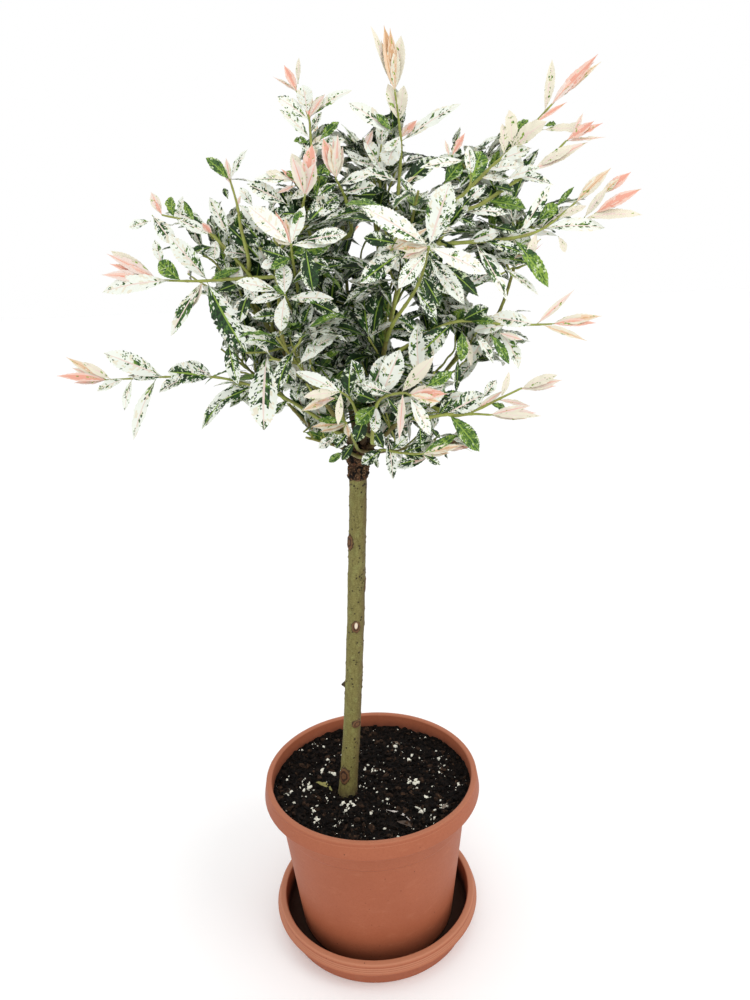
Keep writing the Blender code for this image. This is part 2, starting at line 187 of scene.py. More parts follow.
class Paint:
    """One material and the nodes that are added to it."""

    def __init__(self, name, roughness=0.6, gloss=0.5):
        self.material = bpy.data.materials.new(name)
        self.material.use_nodes = True
        self.tree = self.material.node_tree
        self.shader = self.tree.nodes["Principled BSDF"]
        self.shader.inputs["Roughness"].default_value = roughness
        self.shader.inputs["Specular IOR Level"].default_value = gloss

    def fill(self, socket, value):
        if isinstance(value, Wire):
            self.tree.links.new(value.socket, socket)
        elif socket.type == "RGBA":
            socket.default_value = (*value[:3], 1.0)
        else:
            socket.default_value = value

    def node(self, kind, settings=None, values=None, output=0):
        """Any node by its type, with its settings first and then its sockets' values or links."""
        made = self.tree.nodes.new(kind)
        for name, value in (settings or {}).items():
            setattr(made, name, value)
        for name, value in (values or {}).items():
            self.fill(made.inputs[name], value)
        return Wire(self, made.outputs[output])

    def place(self, stretch=(1.0, 1.0, 1.0)):
        """The place on the piece in metres, stretched along its axes."""
        spot = self.node("ShaderNodeTexCoord", output="Object")
        return self.node("ShaderNodeVectorMath", {"operation": "MULTIPLY"}, {0: spot, 1: stretch})

    def cloud(self, place, scale, detail=3.0, rough=0.55):
        """Soft noise from 0 to 1."""
        values = {"Vector": place, "Scale": scale, "Detail": detail, "Roughness": rough}
        return self.node("ShaderNodeTexNoise", None, values)

    def mask(self, name):
        """A value that the mesh holds for each point."""
        return self.node("ShaderNodeAttribute", {"attribute_name": name}, None, "Fac")

    def mix(self, share, first, second):
        factor, one, other, mixed = 0, 6, 7, 2
        values = {factor: share, one: first, other: second}
        return self.node("ShaderNodeMix", {"data_type": "RGBA"}, values, mixed)

    def layered(self, colour, *layers):
        """A colour under layers, each with its mask, the mask's edge and softness, its strength and tint."""
        for mask, edge, softness, strength, tint in layers:
            colour = self.mix(mask.above(edge, softness) * strength, colour, tint)
        return colour

    def finish(self, colour=None, rough=None, height=None, depth=0.0003):
        """Joins colour, roughness and relief to the shader."""
        if colour is not None:
            self.fill(self.shader.inputs["Base Color"], colour)
        if rough is not None:
            self.fill(self.shader.inputs["Roughness"], rough)
        if height is not None:
            values = {"Height": height, "Distance": depth, "Strength": 1.0}
            self.fill(self.shader.inputs["Normal"], self.node("ShaderNodeBump", None, values))
        return self.material


# Meshes


def unit(vector):
    return vector / max(norm(vector), 1e-9)


def units(vectors):
    return vectors / np.maximum(norm(vectors, axis=-1, keepdims=True), 1e-9)


def spokes(count):
    """Directions round the Z axis."""
    turns = np.arange(count) * math.tau / count
    return np.stack((np.cos(turns), np.sin(turns), np.zeros(count)), axis=-1)


def at_places(line, own_places, places):
    """Points of a line at new places, where own_places gives the place of each point that it has."""
    return np.stack([np.interp(places, own_places, axis) for axis in line.T], axis=-1)


def lengths_along(points):
    """The length of a line up to each of its points."""
    return np.concatenate(([0.0], np.cumsum(norm(np.diff(points, axis=0), axis=1))))


def bumpy(points, size, seed=0.0, detail=1):
    """Soft noise from -1 to 1 at each point, with features of a size in metres."""
    total = np.zeros(len(points))
    for level in range(detail):
        spots = points * (2 ** level / size) + seed + 17.3 * level
        total += np.array([noise.noise(spot) for spot in spots.tolist()]) / 2 ** level
    return total


def add_object(name, data):
    """An object in the scene for a mesh, a lamp or a camera."""
    made = bpy.data.objects.new(name, data)
    bpy.context.scene.collection.objects.link(made)
    return made


def mesh_object(name, points, faces, finishes, slots=None, masks=None, smooth=True):
    """An object from an array of points and arrays of faces, one array for each number of corners."""
    mesh = bpy.data.meshes.new(name)
    corners = np.concatenate([group.ravel() for group in faces]).astype(np.int32)
    sizes = np.concatenate([np.full(len(group), group.shape[1]) for group in faces]).astype(np.int32)
    mesh.vertices.add(len(points))
    mesh.vertices.foreach_set("co", np.asarray(points, np.float32).ravel())
    mesh.loops.add(len(corners))
    mesh.loops.foreach_set("vertex_index", corners)
    mesh.polygons.add(len(sizes))
    mesh.polygons.foreach_set("loop_start", np.concatenate(([0], np.cumsum(sizes)[:-1])).astype(np.int32))
    mesh.polygons.foreach_set("use_smooth", np.full(len(sizes), smooth))
    for finish in finishes:
        mesh.materials.append(finish)
    if slots is not None:
        mesh.polygons.foreach_set("material_index", np.asarray(slots, np.int32))
    mesh.update(calc_edges=True)
    for mask, values in (masks or {}).items():
        layer = mesh.attributes.new(mask, "FLOAT", "POINT")
        layer.data.foreach_set("value", np.asarray(values, np.float32))
    return add_object(name, mesh)


def place_piece(piece, slot, *nodes):
    """Hangs a piece on the body and hides the nodes that it stands for. The slot is not used."""
    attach(piece, BODY)
    if nodes:
        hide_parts(*nodes)


def grid_faces(rows, columns, closed):
    """Corner numbers of the quads between rows of points. A closed row joins its ends."""
    across = columns if closed else columns - 1
    row, column = np.meshgrid(np.arange(rows - 1), np.arange(across), indexing="ij")
    after = (column + 1) % columns
    near, far = row * columns, (row + 1) * columns
    quads = (near + column, near + after, far + after, far + column)
    return np.stack(quads, axis=-1).reshape(-1, 4)


def capped(rings, first_pole, last_pole):
    """Points and faces of a closed skin over equal rings, with a pole at each end."""
    rows, columns = rings.shape[:2]
    points = np.concatenate([rings.reshape(-1, 3), [first_pole, last_pole]])
    column = np.arange(columns)
    after = (column + 1) % columns
    start = np.full(columns, rows * columns)
    last_row = (rows - 1) * columns
    fan = np.stack((start, after, column), axis=-1)
    end_fan = np.stack((start + 1, last_row + column, last_row + after), axis=-1)
    return points, [grid_faces(rows, columns, True), np.concatenate([fan, end_fan])]


def turned(name, profile, sides, finish, soiled):
    """A closed solid turned about Z from (radius, height) points, with a mask value for each one."""
    inner = profile[1:-1]
    rings = inner[:, None, :1] * spokes(sides)
    rings[..., 2] = inner[:, 1:]
    points, faces = capped(rings, (0.0, 0.0, profile[0][1]), (0.0, 0.0, profile[-1][1]))
    masks = {"soiled": np.concatenate((np.repeat(soiled[1:-1], sides), soiled[[0, -1]]))}
    made = mesh_object(name, points, faces, [finish], masks=masks)
    made.data.set_sharp_from_angle(angle=math.radians(50))
    return made


def rounded(profile, softness, steps=4):
    """A profile with each corner turned into a small arc."""
    points = [np.asarray(point, float) for point in profile]
    line = [points[0]]
    for before, corner, after in zip(points, points[1:], points[2:]):
        back = before - corner
        ahead = after - corner
        reach = min(softness, 0.45 * norm(back), 0.45 * norm(ahead))
        start = corner + unit(back) * reach
        end = corner + unit(ahead) * reach
        for step in range(steps + 1):
            share = step / steps
            line.append((1 - share) ** 2 * start + 2 * share * (1 - share) * corner + share ** 2 * end)
    line.append(points[-1])
    return np.array(line)


def frames_along(points):
    """Two directions across a line of points, turned as little as possible along it."""
    ways = units(np.gradient(points, axis=0))
    side = unit(np.cross(ways[0], UP if abs(ways[0][2]) < 0.9 else np.array((1.0, 0.0, 0.0))))
    sides = []
    for way in ways:
        side = unit(side - way * side.dot(way))
        sides.append(side)
    return np.array(sides), np.cross(ways, sides)


def tube(points, radii, sides):
    """Rings of a limb of round section along a line of points."""
    right, over = frames_along(points)
    around = spokes(sides)
    across = right[:, None] * around[:, :1] + over[:, None] * around[:, 1:2]
    return points[:, None] + across * np.asarray(radii)[:, None, None]


class Heap:
    """Meshes gathered into one piece."""

    def __init__(self):
        self.points = []
        self.faces = {}
        self.slots = {}
        self.masks = []
        self.count = 0

    def add(self, points, faces, slot=0, mask=0.0):
        for group in faces:
            corners = group.shape[1]
            self.faces.setdefault(corners, []).append(group + self.count)
            self.slots.setdefault(corners, []).append(np.broadcast_to(slot, len(group)))
        self.points.append(points)
        self.masks.append(np.broadcast_to(mask, len(points)))
        self.count += len(points)

    def make(self, name, finishes, smooth=True, mask=None):
        faces = [np.concatenate(groups) for groups in self.faces.values()]
        slots = np.concatenate([np.concatenate(groups) for groups in self.slots.values()])
        masks = {mask: np.concatenate(self.masks)} if mask else None
        return mesh_object(name, np.concatenate(self.points), faces, finishes, slots, masks, smooth)


# What the frame says


def node_points(name):
    """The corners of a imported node's mesh, each one once."""
    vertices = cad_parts[name].data.vertices
    flat = np.empty(len(vertices) * 3, np.float32)
    vertices.foreach_get("co", flat)
    return np.unique(flat.reshape(-1, 3).astype(float).round(5), axis=0)


def rings_along(points, way, count):
    """Middles and radii of the rings that a limb's mesh is made of, in order along a direction."""
    along = points @ way
    order = np.argsort(along)
    cuts = np.sort(np.argsort(np.diff(along[order]))[1 - count:]) + 1
    groups = np.split(points[order], cuts)
    middles = np.array([group.mean(axis=0) for group in groups])
    radii = [norm(group - middle, axis=1).mean() for group, middle in zip(groups, middles)]
    return middles, np.array(radii)


def head_sphere():
    """Middle and radius of the knob of the graft."""
    low, high = (np.array(corner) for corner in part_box("graft_head"))
    radius = (high[0] - low[0]) / 2
    middle = (low + high) / 2
    middle[2] = high[2] - radius
    return middle, radius


def named_nodes(group):
    """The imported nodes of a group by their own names, such as left for foliage_left."""
    return {node.partition("_")[2]: node for node in sorted(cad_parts) if node.startswith(group + "_")}


HEAD, HEAD_RADIUS = head_sphere()
TRUNK_RINGS = 14
TRUNK_LINE, TRUNK_RADII = rings_along(node_points("trunk"), UP, TRUNK_RINGS)
BOUGH_RINGS = 5


def bough_line(mass):
    """Middles and radii of a bough's rings, from the head outwards."""
    points = node_points("bough_" + mass)
    reaches = norm(points - HEAD, axis=1)
    way = unit(points[reaches.argmax()] - points[reaches.argmin()])
    return rings_along(points, way, BOUGH_RINGS)


class Mass:
    """A mass of the crown, with its middle and the surface that its leaves reach."""

    def __init__(self, node):
        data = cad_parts[node].data
        corners = [vertex.co.copy() for vertex in data.vertices]
        self.tree = BVHTree.FromPolygons(corners, [tuple(face.vertices) for face in data.polygons])
        points = node_points(node)
        self.middle = (points.min(axis=0) + points.max(axis=0)) / 2
        self.outward = unit(self.middle - HEAD)
        self.tip = points[norm(points - HEAD, axis=1).argmax()]

    def reach(self, way):
        """How far the surface lies from the middle in a direction."""
        hit = self.tree.ray_cast(Vector(self.middle), Vector(way))[0]
        return (hit - Vector(self.middle)).length if hit else 0.0

    def holds(self, spot, margin):
        """Whether a point is inside the surface or within a margin of it."""
        near, normal, _, gap = self.tree.find_nearest(Vector(spot))
        return gap < margin or (Vector(spot) - near).dot(normal) < 0


MASSES = {name: Mass(node) for name, node in named_nodes("foliage").items()}
SHOOTS = {name: Mass(node) for name, node in named_nodes("shoot").items()}
BOUGHS = list(named_nodes("bough"))

# Which masses each piece of leaves stands for
LEAF_PIECES = {
    "left": ("left", "upper_left"),
    "left_low": ("lower_left", "skirt_left"),
    "front_low": ("front_low_left", "front_low_right", "skirt_right"),
    "front": ("front_left", "front_right"),
    "right": ("right", "upper_right", "top"),
    "right_low": ("lower_right", "back_low_right"),
    "back_low": ("back_low_left", "back_mid"),
    "back": ("back_left", "back_right", "back_upper"),
}
PIECE_OF = {mass: piece for piece, masses in LEAF_PIECES.items() for mass in masses}


def view_axes():
    """Right, up and ahead as the photograph's camera has them."""
    ahead = np.array((0.0, math.cos(PITCH), -math.sin(PITCH)))
    level_up = np.array((0.0, math.sin(PITCH), math.cos(PITCH)))
    level_right = np.array((1.0, 0.0, 0.0))
    right = level_right * math.cos(ROLL) + level_up * math.sin(ROLL)
    over = level_up * math.cos(ROLL) - level_right * math.sin(ROLL)
    return right, over, ahead


VIEW_RIGHT, VIEW_UP, VIEW_AHEAD = view_axes()


def seen(pixel, depth):
    """The point that the photograph shows at a pixel, on the upright plane y = depth."""
    way = VIEW_AHEAD + VIEW_RIGHT * (pixel[0] - MIDDLE_U) / FOCUS - VIEW_UP * (pixel[1] - MIDDLE_V) / FOCUS
    return EYE + way * (depth - EYE[1]) / way[1]


def on_level(pixel, level):
    """The point that the photograph shows at a pixel, at a height."""
    way = seen(pixel, 0.0) - EYE
    return EYE + way * (level - EYE[2]) / way[2]


def on_photo(points):
    """Pixels where the photograph shows an array of points, and their distances ahead."""
    offset = points - EYE
    ahead = offset @ VIEW_AHEAD
    across = MIDDLE_U + FOCUS * (offset @ VIEW_RIGHT) / ahead
    down = MIDDLE_V - FOCUS * (offset @ VIEW_UP) / ahead
    return np.stack((across, down), axis=-1), ahead


# Leaf colours


PALETTE = {
    "white": shown(227, 231, 221),
    "cream": shown(222, 216, 196),
    "pale": shown(188, 202, 160),
    "fresh": shown(132, 160, 62),
    "green": shown(80, 114, 42),
    "deep": shown(42, 76, 32),
    "shade": shown(24, 46, 20),
    "blush": shown(224, 206, 196),
    "pink": shown(228, 192, 176),
    "salmon": shown(222, 160, 140),
    "peach": shown(222, 194, 164),
    "tan": shown(206, 164, 124),
    "stalk": shown(146, 160, 80),
}
COLOUR = {name: number for number, name in enumerate(PALETTE)}

# A kind of leaf: its ground, the share of green on it, how deep that green is, and the colours that
# flush its young parts with how far they go. Shares run from 0 to 1.
Kind = namedtuple("Kind", "ground green depth flush flush_share")
WARM = ("blush", "pink", "salmon")
SANDY = ("cream", "peach", "tan")
KINDS = {
    "white": Kind("white", 0.06, 0.40, WARM, 0.00),
    "light": Kind("white", 0.20, 0.50, WARM, 0.00),
    "dappled": Kind("white", 0.42, 0.66, WARM, 0.00),
    "mid": Kind("white", 0.60, 0.74, WARM, 0.00),
    "dark": Kind("white", 0.84, 0.86, WARM, 0.00),
    "green": Kind("fresh", 0.88, 0.42, WARM, 0.00),
    "cream": Kind("cream", 0.07, 0.20, WARM, 0.10),
    "blush": Kind("cream", 0.03, 0.10, WARM, 0.40),
    "pink": Kind("blush", 0.04, 0.00, WARM, 0.56),
    "salmon": Kind("blush", 0.03, 0.00, ("pink", "salmon", "salmon"), 0.62),
    "peach": Kind("cream", 0.05, 0.00, SANDY, 0.60),
    "tan": Kind("cream", 0.03, 0.00, ("peach", "tan", "tan"), 0.66),
}
YOUNG = ("pink", "salmon", "peach", "tan", "blush")

# Rows and columns of cells in a broad leaf by the photograph's camera, another broad one, a narrow one
# and a young one. Each cell is two triangles. The middle column is the midrib.
NEAR_GRID = (42, 15)
BROAD_GRID = (32, 11)
NARROW_GRID = (25, 9)
YOUNG_GRID = (20, 9)
# In metres: from what width a leaf is broad, and within what distance of the camera it is near
BROAD = 0.0165
NEAR = 0.68
# Shares of a leaf's length that its stalk takes, and of its half width that its midrib takes
STALK_SHARE = 0.07
RIB_SHARE = 0.08
# How far an arched leaf starts above its run, as a share of its whole arch
ARCH_SLOPE = 0.42
# In metres: how far a leaf's face is quilted between its veins, and half the width of its stalk
QUILT = 0.00016
STALK_HALF = 0.00045
# How far the teeth stand out, as a share of the half width, and how far the side veins slant
TEETH = 0.045
SLANT = 0.55


class Leaf(namedtuple("Leaf", "start way face length width arch fold twist wave kind piece")):
    """A leaf's root, the way it starts, the way its upper side faces, its sizes and bends, and its kind."""

    def arch_drop(self, share):
        """Roughly how far the arch has taken the leaf's middle line off its first direction."""
        face = unit(self.face - unit(self.way) * unit(self.way).dot(self.face))
        return -face * self.length * share * math.sin(min(self.arch, 1.4) * ARCH_SLOPE * share)


def between_marks(fine, coarse):
    """Weights that fill in a fine row of values between a few marks."""
    return np.clip(1 - np.abs(np.linspace(0, coarse - 1, fine)[:, None] - np.arange(coarse)), 0, 1)


def field_of(members, name):
    """One field of many leaves or kinds, as a column."""
    return np.array([getattr(member, name) for member in members], float)


def cell_colours(leaves, rows, columns, chance):
    """A palette number for each triangle of each leaf: pointed flecks that run out along the side veins."""
    count = len(leaves)
    kinds = [KINDS[leaf.kind] for leaf in leaves]
    green, deepness, flush_share = (
        field_of(kinds, name)[:, None, None, None] for name in ("green", "depth", "flush_share"))
    ground = np.array([COLOUR[kind.ground] for kind in kinds])[:, None, None, None]
    flush = np.array([[COLOUR[name] for name in kind.flush] for kind in kinds])

    def halves():
        return chance.rand(count, rows, columns, 2)

    def streaks():
        runs = chance.rand(count, rows + 1, columns + 2)
        runs = runs[:, :, :-2] + runs[:, :, 1:-1] + runs[:, :, 2:]
        return (0.5 + 0.42 * (runs[:, :-1] + 0.5 * runs[:, 1:] - 2.25))[..., None]

    def lengthwise():
        runs = np.cumsum(chance.rand(count, rows + 5, columns), axis=1)
        return (0.5 + 1.1 * ((runs[:, 5:] - runs[:, :-5]) / 5 - 0.5))[..., None]

    def blotches():
        long, wide = 6, 4
        coarse = chance.rand(count, long, wide)
        weights = between_marks(rows, long), coarse, between_marks(columns, wide)
        return np.einsum("rk,nkl,cl->nrc", *weights)[..., None]

    across = np.abs(np.linspace(-1, 1, columns))[None, None, :, None]
    along = np.linspace(0, 1, rows)[None, :, None, None]
    field = 0.30 * halves() + 0.50 * streaks() + 0.58 * blotches() + 0.20 * across + 0.10 * along
    rank = field.reshape(count, -1).argsort(axis=1).argsort(axis=1).reshape(field.shape) / field[0].size
    share = green * (0.80 + 0.4 * chance.rand(count, 1, 1, 1))
    depth = deepness + 0.9 * (0.4 * halves() + 0.6 * streaks() - 0.5)
    greens = np.array([COLOUR[name] for name in ("fresh", "green", "deep", "shade")])
    chosen = greens[np.clip((depth * 4).astype(int), 0, 3)]
    chosen = np.where(rank > share * 0.90, COLOUR["pale"], chosen)
    colours = np.where(rank < share, chosen, ground)
    colours = np.where((colours == COLOUR["white"]) & (streaks() < 0.26), COLOUR["cream"], colours)

    warmth = flush_share * (0.75 + 0.25 * along) + 0.60 * (lengthwise() - 0.5)
    warmth = warmth + 0.45 * (0.45 - across)
    step = np.clip((warmth * 4).astype(int), 0, 3)
    leaf_number = np.arange(count)[:, None, None, None]
    flushed = flush[leaf_number, np.clip(step - 1, 0, 2)]
    colours = np.where((step > 0) & (flush_share > 0) & (rank >= share), flushed, colours)

    rib = columns // 2
    rib_colour = np.where(green > 0.5, COLOUR["fresh"], COLOUR["blush"])
    rib_colour = np.where(flush_share > 0.3, flush[:, 2][:, None, None, None], rib_colour)
    colours[:, :, rib] = rib_colour[:, :, 0]
    colours[:, 0] = COLOUR["stalk"]
    return colours


def halved(quads, columns):
    """Two triangles for each quad of a grid, split one way and the other in turn."""
    odd = (np.arange(len(quads)) // columns + np.arange(len(quads)) % columns) % 2
    one_way = quads[:, (0, 1, 2, 0, 2, 3)]
    other_way = quads[:, (0, 1, 3, 1, 2, 3)]
    return np.where(odd[:, None], other_way, one_way).reshape(-1, 3)


def leaf_mesh(leaves, rows, columns, chance):
    """Points, faces and palette numbers of many leaves at once."""
    count = len(leaves)
    along = np.linspace(0, 1, rows + 1)[None, :, None]
    half = np.linspace(RIB_SHARE, 1, columns // 2 + 1)
    across = np.concatenate((-half[::-1], half))[None, None]
    fields = ("length", "width", "arch", "fold", "twist", "wave")
    length, width, arch, fold, twist, wave = (field_of(leaves, name)[:, None, None] for name in fields)

    blade = np.clip((along - STALK_SHARE) / (1 - STALK_SHARE), 0, 1)
    taper = 1.35 if (rows, columns) == YOUNG_GRID else 1.05
    outline = blade ** 0.85 * (1 - blade) ** taper
    outline = outline / outline.max()
    half_width = np.maximum(width / 2 * outline, STALK_HALF * (1 - 0.7 * along))

    angle = -arch * along ** 1.3
    start = np.zeros((count, 1, 1))
    step = length / rows
    run, drop = (np.concatenate((start, np.cumsum(part(angle[:, :-1]) * step, axis=1)), axis=1)
                 for part in (np.cos, np.sin))

    phase = chance.rand(count, 1, 1) * math.tau
    ripple = np.sin(along * 17 + phase + across) * 0.6 + np.sin(along * 31 + 2 * phase - 2 * across) * 0.4
    edge = np.abs(across)
    every_other = np.where(np.arange(rows + 1) % 2, 1, -1)[None, :, None]
    quilt = QUILT * every_other * (edge < 0.95) * outline
    teeth = 1 + TEETH * every_other * (edge > 0.95)
    out = across * half_width * teeth
    lift = np.abs(out) * np.tan(fold) * (1 - 0.35 * edge) + wave * ripple * edge ** 2 * outline + quilt
    lift = lift + 0.00025 * (edge <= RIB_SHARE) * (1 - along)
    slant = SLANT * np.abs(out)

    turn = twist * along
    level = out * np.cos(turn) - lift * np.sin(turn)
    height = out * np.sin(turn) + lift * np.cos(turn)
    forward = run + slant * np.cos(angle) - height * np.sin(angle)
    upward = drop + slant * np.sin(angle) + height * np.cos(angle)

    way = units(field_of(leaves, "way"))
    face = field_of(leaves, "face")
    face = units(face - way * (face * way).sum(axis=1, keepdims=True))
    cross = np.cross(face, way)
    points = (field_of(leaves, "start")[:, None, None] + way[:, None, None] * forward[..., None]
              + cross[:, None, None] * level[..., None] + face[:, None, None] * upward[..., None])
    corners = halved(grid_faces(rows + 1, columns + 1, False), columns)
    size = (rows + 1) * (columns + 1)
    faces = (corners[None] + (np.arange(count) * size)[:, None, None]).reshape(-1, 3)
    return points.reshape(-1, 3), faces, cell_colours(leaves, rows, columns, chance).ravel()


# Growth


Limb = namedtuple("Limb", "points radii mass kind")

